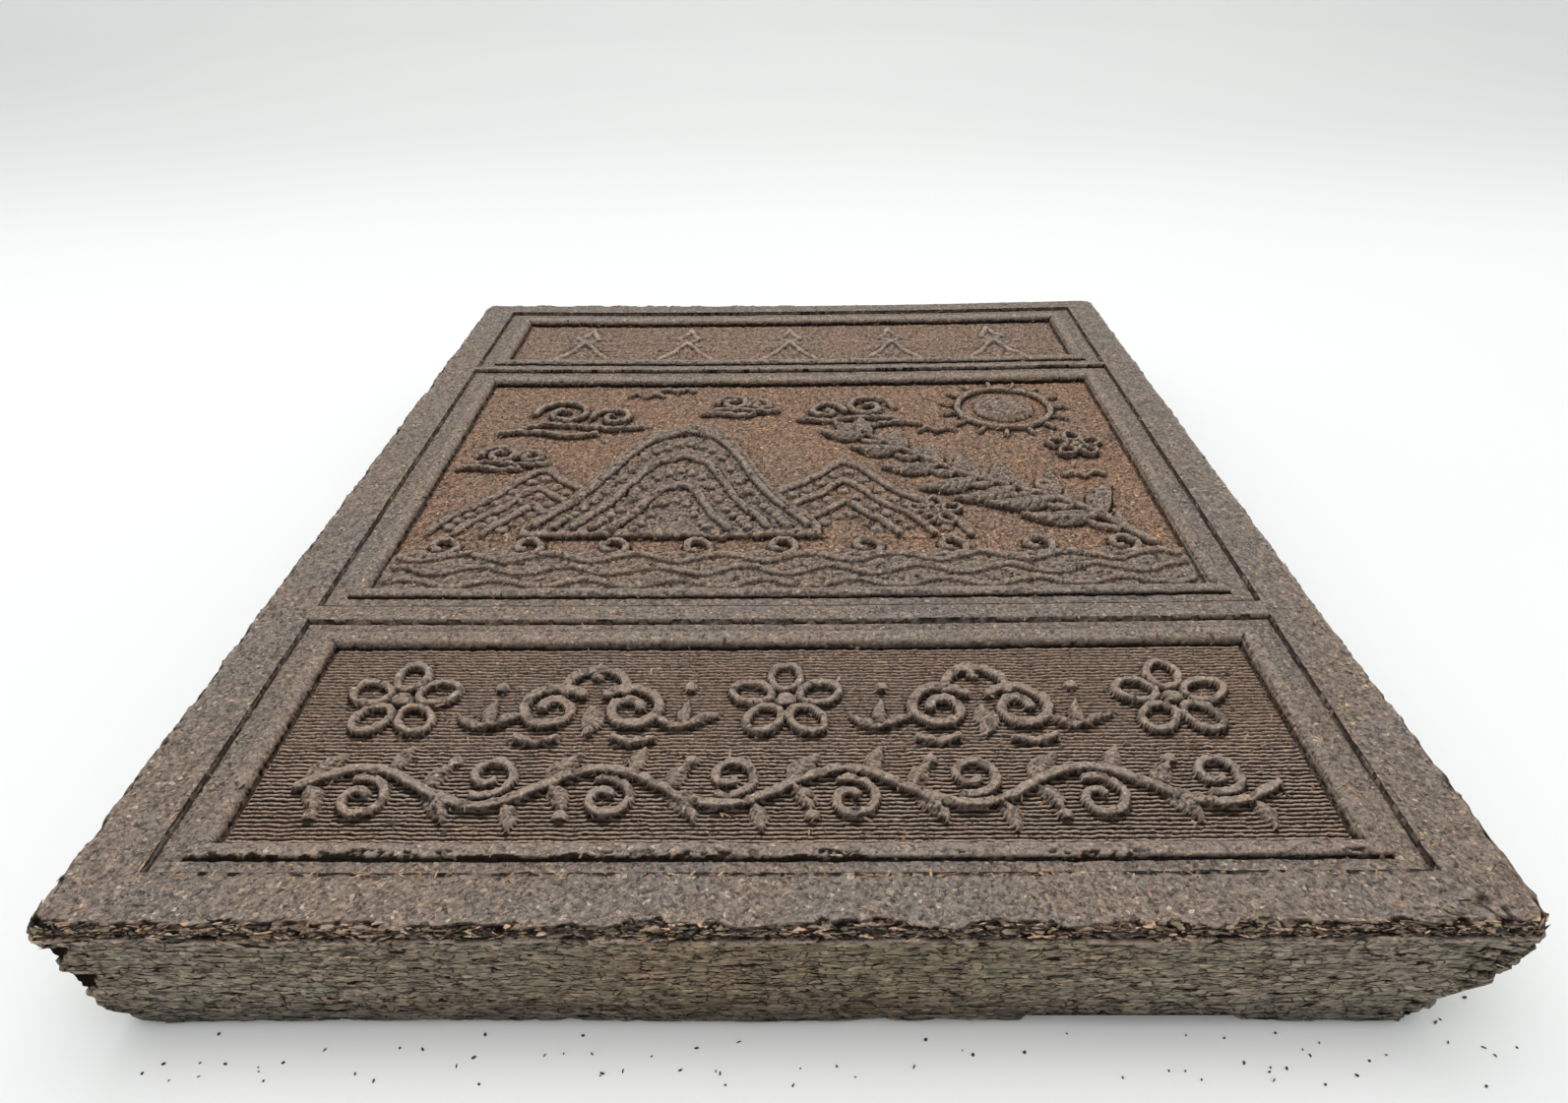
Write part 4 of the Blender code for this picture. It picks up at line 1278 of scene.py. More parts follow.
    def build(self, face: Material, flank: Material) -> tuple[Object, Surface]:
        """Makes the slab's piece.

        Args:
            face: The finish of the rim.
            flank: The finish of the sides.

        Returns:
            The piece, and its outside for the scattered bits.
        """
        outer, _ = self.ring(0.0, THICKNESS)
        stations = len(outer)
        steps = np.hypot(*np.diff(np.concatenate([outer, outer[:1]]), axis=0).T)
        arc_length = np.concatenate([[0], np.cumsum(steps)[:-1]])
        whole = float(steps.sum())
        middle = arc_length[int(np.argmin(np.hypot(outer[:, 0], outer[:, 1] + HALF_LENGTH)))]
        s = (arc_length - middle + whole / 2) % whole - whole / 2
        rings = []  # places, directions out, how far up, height, distance from the edge, share of the rim
        for inset, height, out, up, distance in self.levels():
            ring, direction = self.ring(inset, height)
            rings.append((Slab.placed(ring, height), direction * out, up, height, distance, 0.0))
        edge, direction = self.ring(0.45 * MM, THICKNESS)
        edge = Slab.placed(edge, THICKNESS)
        target = self.inner_edge(outer)
        wander = 0.12 * MM * layered(target[:, 0], target[:, 1], 1.5 * MM, 3, 2)
        target = target + direction * wander[:, None]
        rim_width = np.hypot(*(target - edge).T)
        shares = np.linspace(0, 1, 27)[1:] ** 1.35
        for step in np.sort(np.append(shares, (0.974, 0.988))):
            ring = edge + (target - edge) * step
            rings.append((ring, np.zeros_like(direction), 1.0, THICKNESS, 0.2 * MM + rim_width * step, step))
        places, out = (np.stack(column) for column in list(zip(*rings))[:2])
        columns = ([np.broadcast_to(value, stations) for value in column] for column in list(zip(*rings))[2:])
        up, z, q, share = (np.array(column) for column in columns)
        x, y = places[:, :, 0], places[:, :, 1]
        s_grid = np.repeat(s[None, :], len(rings), axis=0)
        depth, crumble, gap = self.depth(s_grid, q, x, y, whole)
        # the rim's inner edge on the near side is torn too
        brink = eased(share + 0.03 * noise(x, y, 1.1 * MM, 135), 0.935, 0.965)
        brink *= eased(0.6 * noise(x, y * 0, 6 * MM, 133) + noise(x, y, 0.9 * MM, 136), -0.25, 0.2)
        speck = eased(share, 0.7, 0.95) * eased(noise(x, y, 3 * MM, 137), 0.45, 0.8)
        front = y < -HALF_LENGTH + 12 * MM
        # painted shade along the torn near edge of the rim, and at the top of the step's wall
        gap = np.maximum(gap, 0.9 * np.maximum(brink * front, share > 0.995))
        torn = eased(share, 0.9, 0.94) * eased(noise(x, y, 1.3 * MM, 134), 0.0, 0.4)
        crumble = np.maximum(crumble, np.maximum(0.8 * torn, 0.5 * speck) * front)
        inward, upward, dark = self.wear(x, y, z)
        side = (q < 0).astype(float)
        move = depth + inward * side
        x = x - out[:, :, 0] * move
        y = y - out[:, :, 1] * move
        lifted = z + np.where(z > 0, upward * side, 0.0) - up * depth
        lifted = sagged(x, y, lifted)
        shade_raw = (depth - blurred(depth, 2, 4)) / (0.13 * MM)
        shade = np.clip(shade_raw, 0.0, 1.0)
        shade = np.maximum(shade, np.clip((move - blurred(move, 5, 6)) / (0.5 * MM), 0.0, 1.0))
        shade = np.maximum(shade, np.maximum(gap, dark * side))
        grid = np.stack([x, y, lifted], axis=-1)
        wall = grid[-1].copy()
        wall[:, 2] = self.tray_z
        points = np.concatenate([grid.reshape(-1, 3), wall])
        number = np.arange(len(points)).reshape(-1, stations)
        following = np.roll(number, -1, axis=1)
        quads = np.stack([number[:-1], following[:-1], following[1:], number[1:]], axis=-1)
        mesh = plain_mesh("brick_body", points, quads.reshape(-1, 4), [number[0][::-1], number[-1]])
        # bumps made pale: partly worn, partly painted highlight
        crest = np.clip(-shade_raw, 0.0, 1.0) * 0.6
        set_numbers(mesh, crevice=shade, floor=np.zeros(1), crumble=crumble, rubbed=crest)
        first_face_ring = int(np.searchsorted(q[:, 0], -self.band_depth - 0.3 * MM))
        kinds = np.zeros(len(mesh.polygons), dtype=np.int32)
        kinds[: first_face_ring * stations] = 1
        mesh.polygons.foreach_set("material_index", kinds)
        along = (np.roll(grid, -1, axis=1) - grid).reshape(-1, 3)
        along[:, 2] = 0.0
        weights = {
            "stems": 0.6 * (q > 0.8 * MM) + 5.0 * front * eased(share, 0.88, 0.93),
            "shreds": 0.25 * (q > 0.8 * MM),
            "flank": (z > 1.0 * MM) * (q < -2.0 * MM),
            "edge": crumble * (0.35 + 0.65 * (y < -HALF_LENGTH + 12 * MM)),
        }
        surface = Surface(grid.reshape(-1, 3), quads[:-1].reshape(-1, 4), weights, along)
        return add_piece("brick_body", mesh, face, flank), surface

    def depth(self, s: Array, q: Array, x: Array, y: Array, whole: float) -> tuple[Array, Array, Array]:
        """How far the pressed surface lies under the clean one.

        Args:
            s: Places round the slab, from the middle of the near side.
            q: Distances from the top edge, negative down the side and positive over the rim.
            x, y: Places across and along.
            whole: Length of the whole way round.

        Returns:
            The depths, how crumbled each point is and how dark the painted shade in its gaps and creases is,
            both from 0 to 1.
        """
        near = 1 - eased(np.abs(s), 92 * MM, 96 * MM)
        strength = 0.45 + 0.55 * near
        corner = np.exp(-(((x - 86 * MM) / (9 * MM)) ** 2)) * near
        reach_in = 1.0 + 0.8 * noise(s, s * 0, 4.5 * MM, 91) + 0.5 * noise(s, s * 0, 1.3 * MM, 92)
        reach_in = MM * (0.25 + strength * np.maximum(reach_in, 0.0) + 0.7 * corner)
        reach_down = self.band_depth + 0.25 * MM * layered(s, s * 0, 3 * MM, 93)
        reach_down = reach_down * (0.35 + 0.65 * near)
        on_rim = eased(reach_in - q, 0.0, 0.22 * MM)
        on_side = eased(q + reach_down, 0.0, 0.25 * MM)
        crumble = np.where(q > 0, on_rim, on_side)
        ident, slope, _ = flakes(s / 3.6, q, 0.5 * MM, 95)
        coarse, _, _ = flakes(s / 2.2, q, 1.3 * MM, 97)
        loose = 0.30 + 0.75 * ident + 0.45 * slope + 0.45 * (coarse - 0.4)
        loose *= np.where(q > 0, 0.35 + 0.65 * np.clip(1 - q / np.maximum(reach_in, 0.1 * MM), 0, 1), 1.0)
        depth = crumble * loose * 0.72 * MM * strength
        broken = eased(noise(s, q * 0, 3.2 * MM, 99), -0.45, 0.15)
        groove = np.exp(-(((q + reach_down) / (0.26 * MM)) ** 2)) * broken
        depth += 0.55 * MM * groove * near
        torn = np.exp(-(((reach_in - q) / (0.2 * MM)) ** 2)) * eased(noise(s, q, 2.1 * MM, 96), -0.4, 0.0)
        # painted shade in the groove at the band's foot and along the torn edge of the rim
        gap = np.maximum(groove, 0.95 * torn * (q > 0.1 * MM)) * near
        # the flakes that lift off the rim by the near right corner
        lifted = eased(x, 68 * MM, 82 * MM) * eased(-y, HALF_LENGTH - 8 * MM, HALF_LENGTH - 4 * MM) * (q > 0)
        split = eased(-np.abs(noise(x + 0.5 * y, 2.2 * y, 2.6 * MM, 129)), -0.20, -0.06)
        split *= lifted * eased(noise(x, y, 1.5 * MM, 139), -0.5, 0.0)
        # painted shade in the splits between the lifting flakes
        gap = np.maximum(gap, 0.75 * split)
        crumble = np.maximum(crumble, 0.4 * lifted * eased(noise(x, 1.6 * y, 3.1 * MM, 141), -0.2, 0.25))
        depth += 0.15 * MM * split
        # the long sides and the far one break off in steps
        stepped, lean, _ = flakes(s, s * 0, 3.4 * MM, 125)
        finer, _, _ = flakes(s, s * 0, 1.3 * MM, 127)
        ragged = 0.65 * (stepped - 0.4) + 0.3 * (finer - 0.5) + 0.2 * lean
        along_edge = eased(-np.abs(q + 0.5 * MM), -1.6 * MM, -0.9 * MM) * (1 - near)
        trimmed = 0.65 * (x > 0) * eased(y, -100 * MM, -45 * MM) - 0.08
        depth += MM * (0.8 * np.maximum(ragged, -0.2) + trimmed) * along_edge
        # the smooth side: wide unevenness, lying shingles and short fissures
        side = eased(-q, 0.5 * MM, 2.0 * MM)
        depth += side * 0.22 * MM * layered(s, q, 14 * MM, 111)
        level = q + 0.25 * MM * noise(s, q, 3 * MM, 113)
        ident, slope, border = flakes(s / 3.4 + 0.3 * q, level, 1.15 * MM, 115)
        depth += side * MM * (0.07 * (ident - 0.5) + 0.07 * slope)
        cleft = eased(-border, -0.16 * MM, -0.03 * MM) * eased(noise(s, q, 4 * MM, 117), -0.1, 0.35)
        depth += side * 0.10 * MM * cleft
        ragged, _, _ = flakes(s, q * 0.5, 5 * MM, 119)
        depth += side * 0.10 * MM * (ragged - 0.5)
        low = eased(-q, THICKNESS - 2.6 * MM, THICKNESS - 0.8 * MM)
        depth += low * 0.5 * MM * np.maximum(0.0, layered(s, q, 5 * MM, 121))
        # the rim: the same pressed grain as the panels'
        rim = eased(q, 0.2 * MM, 1.0 * MM)
        depth -= rim * MM * 0.45 * pressed_grain(x, y)
        depth -= 0.10 * MM * layered(x, y, 22 * MM, 67) * rim
        seam = eased(whole / 2 - np.abs(s), 0.0, 5 * MM)
        return depth * seam, crumble * (0.4 + 0.6 * near), gap


# ---- node trees


def paired(operation: str, swapped: bool = False) -> Callable[["Number", Any], "Number"]:
    """A method that adds a Math node on a number and another input, which comes first when swapped."""

    def result(self: "Number", other: Any) -> "Number":
        """The result of the Math node."""
        return self.maths(operation, *((other, self) if swapped else (self, other)))

    return result


class Number:
    """A number in a node tree. Python's operators on it add Math nodes."""

    def __init__(self, bench: "Bench", socket: NodeSocket) -> None:
        """Wraps an output socket of the bench's tree."""
        self.bench = bench
        self.socket = socket

    def maths(self, operation: str, *inputs: Any) -> "Number":
        """The result of a Math node on the given inputs."""
        node = self.bench.node("ShaderNodeMath", {"operation": operation}, dict(enumerate(inputs)))
        return Number(self.bench, node.outputs[0])

    __add__ = __radd__ = paired("ADD")
    __sub__ = paired("SUBTRACT")
    __rsub__ = paired("SUBTRACT", swapped=True)
    __mul__ = __rmul__ = paired("MULTIPLY")
    __truediv__ = paired("DIVIDE")
    largest = paired("MAXIMUM")

    def unsigned(self) -> "Number":
        """This number without its sign."""
        return self.maths("ABSOLUTE", self)

    def between(self, low: float, high: float, smooth: bool = True) -> "Number":
        """A step from 0 at low to 1 at high, held within 0 and 1."""
        settings = {"interpolation_type": "SMOOTHSTEP" if smooth else "LINEAR", "clamp": True}
        inputs = {"Value": self, "From Min": low, "From Max": high}
        return Number(self.bench, self.bench.node("ShaderNodeMapRange", settings, inputs).outputs[0])


def fresh_material(name: str) -> tuple[Material, "Bench"]:
    """A new material and a bench on its node tree."""
    material = bpy.data.materials.new(name)
    material.use_nodes = True
    return material, Bench(material.node_tree)


class Bench:
    """A node tree that is being built."""

    def __init__(self, tree: NodeTree) -> None:
        """Clears a tree and starts on it."""
        self.tree = tree
        tree.nodes.clear()

    def node(
        self, kind: str, settings: Optional[dict[str, Any]] = None, inputs: Optional[dict[Any, Any]] = None
    ) -> Node:
        """Adds a node.

        Args:
            kind: Its type.
            settings: Its own properties, set first.
            inputs: What its sockets take, by name or number: a value, a socket, or a node for its
                first output.

        Returns:
            The node.
        """
        node = self.tree.nodes.new(kind)
        for name, value in (settings or {}).items():
            setattr(node, name, value)
        for name, value in (inputs or {}).items():
            source = value.socket if isinstance(value, Number) else value
            source = source.outputs[0] if isinstance(source, Node) else source
            if isinstance(source, NodeSocket):
                self.tree.links.new(source, node.inputs[name])
            else:
                node.inputs[name].default_value = source
        return node

    def number(self, node: Node, output: Any = 0) -> Number:
        """One output of a node as a number."""
        return Number(self, node.outputs[output])

    def stored(self, name: str) -> Number:
        """The number that the mesh stores under a name."""
        return self.number(self.node("ShaderNodeAttribute", {"attribute_name": name}), "Fac")

    def noise(self, vector: Any, scale: float, detail: float = 2.0) -> Node:
        """Adds a noise texture."""
        return self.node("ShaderNodeTexNoise", None, {"Vector": vector, "Scale": scale, "Detail": detail})

    def cells(self, vector: Any, scale: float, feature: str = "F1") -> Node:
        """Adds a texture of irregular cells, or of the distance to their borders."""
        return self.node("ShaderNodeTexVoronoi", {"feature": feature}, {"Vector": vector, "Scale": scale})

    def shares(self, cells: Node) -> Node:
        """Three random numbers for each cell, as Red, Green and Blue."""
        return self.node("ShaderNodeSeparateColor", None, {"Color": cells.outputs["Color"]})

    def toned(self, stops: Stops, factor: Any, interpolation: str = "CONSTANT") -> NodeSocket:
        """The colour that a ramp gives to a factor.

        Args:
            stops: Places and colours on the ramp.
            factor: Where on the ramp to look.
            interpolation: How the ramp runs from stop to stop.

        Returns:
            The colour.
        """
        node = self.node("ShaderNodeValToRGB", None, {"Fac": factor})
        node.color_ramp.interpolation = interpolation
        elements = node.color_ramp.elements
        while len(elements) < len(stops):
            elements.new(1.0)
        for element, (place, colour) in zip(elements, stops):
            element.position, element.color = place, colour
        return node.outputs["Color"]

    def surface(self, **inputs: Any) -> Node:
        """Adds a Principled shader, with spaces for the underscores in its inputs' names."""
        named = {name.replace("_", " "): value for name, value in inputs.items()}
        return self.node("ShaderNodeBsdfPrincipled", None, named)

    def bump(self, height: Number, strength: float, distance: float) -> NodeSocket:
        """Normals of a relief that is finer than the mesh."""
        inputs = {"Height": height, "Strength": strength, "Distance": distance}
        return self.node("ShaderNodeBump", None, inputs).outputs["Normal"]

    def finish(self, shader: Node) -> None:
        """Ends a material's tree with a shader."""
        self.node("ShaderNodeOutputMaterial", None, {"Surface": shader})

    def mixed(self, kind: str, factor: Any, first: Any, second: Any) -> NodeSocket:
        """Two colours mixed in one of the Mix node's ways, such as MIX or MULTIPLY."""
        settings = {"data_type": "RGBA", "blend_type": kind, "clamp_factor": True}
        node = self.node("ShaderNodeMix", settings, {0: factor, 6: first, 7: second})
        return node.outputs[2]

    def vectors(self, operation: str, first: Any, second: Any) -> NodeSocket:
        """The result of a Vector Math node on two vectors."""
        return self.node("ShaderNodeVectorMath", {"operation": operation}, {0: first, 1: second}).outputs[0]


def paint(*display: int) -> Colour:
    """A display colour, 0 to 255, as the linear colour that a node takes."""
    linear = []
    for value in display:
        share = value / 255
        linear.append(share / 12.92 if share <= 0.04045 else ((share + 0.055) / 1.055) ** 2.4)
    return linear[0], linear[1], linear[2], 1.0


def tones(*stops: tuple[float, int, int, int]) -> Stops:
    """Stops of a colour ramp, each from its place and its display colour."""
    return tuple((place, paint(*display)) for place, *display in stops)


# ---- finishes


@dataclass(frozen=True)
class PressedTea:
    """Compacted tea dust and leaf bits: speckled flakes with fine cracks between them."""

    name: str
    tones: Stops
    grain: float = 0.45 * MM  # width of a flake
    stretch: tuple[float, float, float] = (1.0, 1.0, 1.0)  # below 1 makes flakes longer that way
    crack_size: float = 1.2 * MM
    crack_share: float = 0.85
    crack_strength: float = 0.4
    crack_width: float = 0.10  # as a share of the crack size
    fissures: float = 0.0  # how much of the surface holds long level fissures
    cool: Colour = paint(245, 245, 243)
    warm: Colour = paint(255, 248, 238)
    floor_tint: Colour = (1.34, 1.04, 0.84, 1.0)
    middle_tint: Colour = (0.87, 0.78, 0.66, 1.0)  # of the middle of a surface with fissures
    # painted shade: the colour that darkens the lowest part of a side
    foot_shade: Colour = (0.30, 0.29, 0.28, 1.0)  # of its lowest part
    gap: Colour = paint(15, 10, 8)
    pale: Colour = paint(192, 170, 152)
    crumb_tones: Stops = tones(
        (0.0, 18, 13, 10), (0.2, 116, 95, 78), (0.42, 134, 120, 96),
        (0.6, 52, 40, 32), (0.7, 158, 136, 118), (0.9, 212, 176, 144),
    )
    roughness: float = 0.62

    def material(self) -> Material:
        """Makes the finish.

        Returns:
            The material.
        """
        material, bench = fresh_material(self.name)
        place = bench.node("ShaderNodeTexCoord").outputs["Object"]
        wobble = bench.noise(place, 1 / (1.1 * MM), 1.0)
        centred = bench.vectors("SUBTRACT", wobble.outputs["Color"], (0.5, 0.5, 0.5))
        shift = bench.vectors("MULTIPLY", centred, (0.7 * MM, 0.7 * MM, 0.5 * MM))
        bent = bench.vectors("ADD", place, shift)
        laid = bench.vectors("MULTIPLY", bent, self.stretch)
        flake = bench.shares(bench.cells(laid, 1 / self.grain))
        small = bench.shares(bench.cells(laid, 2.3 / self.grain))
        tone, fine_tone = (bench.toned(self.tones, parts.outputs["Red"]) for parts in (flake, small))
        colour = bench.mixed("MIX", 0.35, tone, fine_tone)
        patch = bench.number(bench.noise(place, 1 / (16 * MM), 3.0)).between(0.38, 0.62)
        colour = bench.mixed("MULTIPLY", 1.0, colour, bench.mixed("MIX", patch, self.cool, self.warm))
        floor = bench.stored("floor")
        colour = bench.mixed("MULTIPLY", floor, colour, self.floor_tint)
        if self.fissures > 0:
            parts = bench.node("ShaderNodeSeparateXYZ", None, {"Vector": place})
            aside = bench.number(parts, "X").unsigned()
            middle = 1 - aside.between(5 * MM, 70 * MM)
            colour = bench.mixed("MULTIPLY", middle, colour, self.middle_tint)
            # painted shade, darker towards the bottom of the side
            foot = 1 - (bench.number(parts, "Z") + aside * 0.02).between(2 * MM, 11.5 * MM)
            colour = bench.mixed("MULTIPLY", foot, colour, self.foot_shade)
        crack = self.cracks(bench, laid, bent, floor)
        # the torn edge lies in thin shingles
        crumble = bench.stored("crumble")
        shingled = bench.vectors("MULTIPLY", bent, (0.22, 0.22, 1.0)), 1 / (0.5 * MM)
        border = bench.number(bench.cells(*shingled, "DISTANCE_TO_EDGE"), "Distance")
        crack = crack.largest((1 - border.between(0.05, 0.17)) * crumble.between(0.2, 0.7))
        rust = bench.toned(self.crumb_tones, bench.shares(bench.cells(*shingled)).outputs["Red"])
        colour = bench.mixed("MIX", crumble.between(0.15, 0.6), colour, rust)
        # pale crests: partly worn, partly painted highlight
        colour = bench.mixed("MIX", bench.stored("rubbed") * 0.45, colour, self.pale)
        rise = bench.number(flake, "Green") * 0.6 + bench.number(small, "Green") * 0.4
        normal = bench.bump(rise - crack * 0.9, 0.8, 0.16 * MM)
        rough = bench.number(small, "Blue") * 0.16 + (self.roughness - 0.08) + floor * 0.08 + crumble * 0.12
        shader = bench.surface(Base_Color=colour, Roughness=rough, Normal=normal, Specular_IOR_Level=0.26)
        # the cracks go black, and so does the painted shade in hollows, creases and on slopes that face the
        # near end
        depth = (crack * 0.94).largest(bench.stored("crevice") * 0.97)
        gap = bench.surface(Base_Color=self.gap, Roughness=1.0, Specular_IOR_Level=0.0)
        bench.finish(bench.node("ShaderNodeMixShader", None, {0: depth, 1: shader, 2: gap}))
        return material

    def cracks(self, bench: Bench, laid: Any, bent: Any, floor: Number) -> Number:
        """How open the cracks are.

        Args:
            bench: The material's node tree.
            laid: Where each point lies among the flakes.
            bent: Where it lies on the brick.
            floor: How far it is on a panel's floor.

        Returns:
            0 on sound tea to 1 in a crack: between flakes, in patches, and in long level fissures.
        """
        border = bench.number(bench.cells(laid, 1 / self.crack_size, "DISTANCE_TO_EDGE"), "Distance")
        line = 1 - border.between(0.0, self.crack_width)
        where = bench.number(bench.noise(laid, 0.9 / self.crack_size))
        crack = line * where.between(0.62 - 0.2 * self.crack_share, 0.72 - 0.2 * self.crack_share)
        crack = crack * (floor * 0.5 + self.crack_strength)
        if self.fissures > 0:
            level = bench.vectors("MULTIPLY", bent, (0.3, 0.3, 1.0))
            height = bench.number(bench.node("ShaderNodeSeparateXYZ", None, {"Vector": bent}), "Z")
            swell = bench.number(bench.noise(level, 1 / (2.2 * MM)))
            spots = bench.number(bench.noise(level, 1 / (0.9 * MM), 1.0))
            wave = (height / (1.05 * MM) + swell * 3.2) * tau
            low = 0.60 - 0.12 * self.fissures
            fissure = wave.maths("SINE", wave).between(0.74, 0.88)
            crack = crack.largest(fissure * spots.between(low, low + 0.04))
        return crack


@dataclass(frozen=True)
class BitTea:
    """Loose bits of leaf and stem, each in one tone picked by its own number."""

    name: str
    tones: Stops
    roughness: float = 0.6

    def material(self) -> Material:
        """Makes the finish.

        Returns:
            The material.
        """
        material, bench = fresh_material(self.name)
        tone = bench.toned(self.tones, bench.stored("tint"), "LINEAR")
        place = bench.node("ShaderNodeTexCoord").outputs["Object"]
        shade = bench.number(bench.noise(place, 1 / (0.35 * MM))).between(0.3, 0.7)
        pale = bench.mixed("MIX", shade, paint(176, 168, 160), paint(255, 255, 255))
        colour = bench.mixed("MULTIPLY", 1.0, tone, pale)
        normal = bench.bump(shade, 0.4, 0.05 * MM)
        look = {"Base_Color": colour, "Roughness": self.roughness, "Normal": normal}
        bench.finish(bench.surface(**look, Specular_IOR_Level=0.4))
        return material


class Finish(Enum):
    """The finishes of the brick and of its bits."""

    FACE = PressedTea(
        "pressed_face",
        tones(
            (0.0, 50, 42, 37), (0.09, 97, 86, 82), (0.26, 132, 119, 116),
            (0.44, 122, 117, 104), (0.60, 141, 128, 118), (0.74, 97, 87, 79),
            (0.84, 157, 141, 128), (0.94, 182, 158, 137), (0.985, 217, 197, 176),
        ),
    )
    FLANK = PressedTea(
        "pressed_flank",
        tones(
            (0.0, 14, 11, 9), (0.09, 114, 106, 97), (0.34, 140, 131, 119), (0.54, 115, 106, 95),
            (0.70, 151, 140, 126), (0.84, 90, 82, 74), (0.96, 184, 168, 147),
        ),
        grain=0.5 * MM,
        stretch=(0.4, 0.4, 1.0),
        crack_share=1.1,
        crack_strength=0.9,
        crack_size=0.95 * MM,
        crack_width=0.09,
        fissures=1.05,
        cool=paint(245, 248, 236),
        warm=paint(251, 243, 227),
    )
    STEM = BitTea(
        "stem_bits",
        tones((0.0, 112, 76, 56), (0.35, 146, 106, 78), (0.7, 172, 138, 104), (1.0, 196, 170, 138)),
    )
    LEAF = BitTea(
        "leaf_bits",
        tones(
            (0.0, 50, 41, 36), (0.3, 84, 73, 66), (0.6, 110, 99, 92),
            (0.85, 104, 95, 78), (1.0, 140, 119, 98),
        ),
    )
    CRUMB = BitTea(
        "crumb_bits",
        tones(
            (0.0, 12, 9, 7), (0.25, 30, 23, 18), (0.5, 112, 94, 76),
            (0.75, 150, 127, 104), (1.0, 218, 184, 152),
        ),
    )
    DUST = BitTea("fallen_bits", tones((0.0, 22, 17, 14), (0.7, 52, 42, 34), (1.0, 98, 80, 62)))


# ---- small bits, laid by Geometry Nodes


class BitShape(Enum):
    """Outlines of the small bits, as (sides, taper, crookedness)."""

    SLIVER = (6, 0.55, 0.18)
    SHRED = (5, 0.95, 0.30)
    LUMP = (6, 1.0, 0.34)

    def model(self, number: int, base: float) -> Object:
        """A bit 1 long, 1 wide and 1 high before scaling.

        Args:
            number: Which of its variants it is.
            base: How much of its height lies under the surface.

        Returns:
            An object to copy from, in no scene.
        """
        sides, taper, crooked = self.value
        random = np.random.default_rng(1000 * sides + number)
        points = []
        levels = (0.3, 0.75) if self is BitShape.LUMP else (0.45,)
        for level in levels:
            for i in range(sides):
                angle = tau * (i + 0.35 * random.uniform(-1, 1)) / sides
                reach = 0.5 * (1 - crooked * random.uniform(0, 1)) * (1.0 if level < 0.5 else 0.75)
                narrow = 1.0 if abs(cos(angle)) < 0.8 else taper
                points.append((reach * cos(angle), reach * sin(angle) * narrow, level - base))
        bottom, top = len(points), len(points) + 1
        points += [(0.05, 0.0, -base), (0.06 * random.uniform(-1, 1), 0.0, 1 - base)]
        faces = []
        last = (len(levels) - 1) * sides
        for i in range(sides):
            j = (i + 1) % sides
            faces.append((bottom, j, i))
            faces.append((last + i, last + j, top))
            if len(levels) == 2:
                faces.append((i, j, sides + j, sides + i))
        mesh = bpy.data.meshes.new(f"{self.name.lower()}_{number}")
        mesh.from_pydata(points, [], faces)
        return bpy.data.objects.new(mesh.name, mesh)


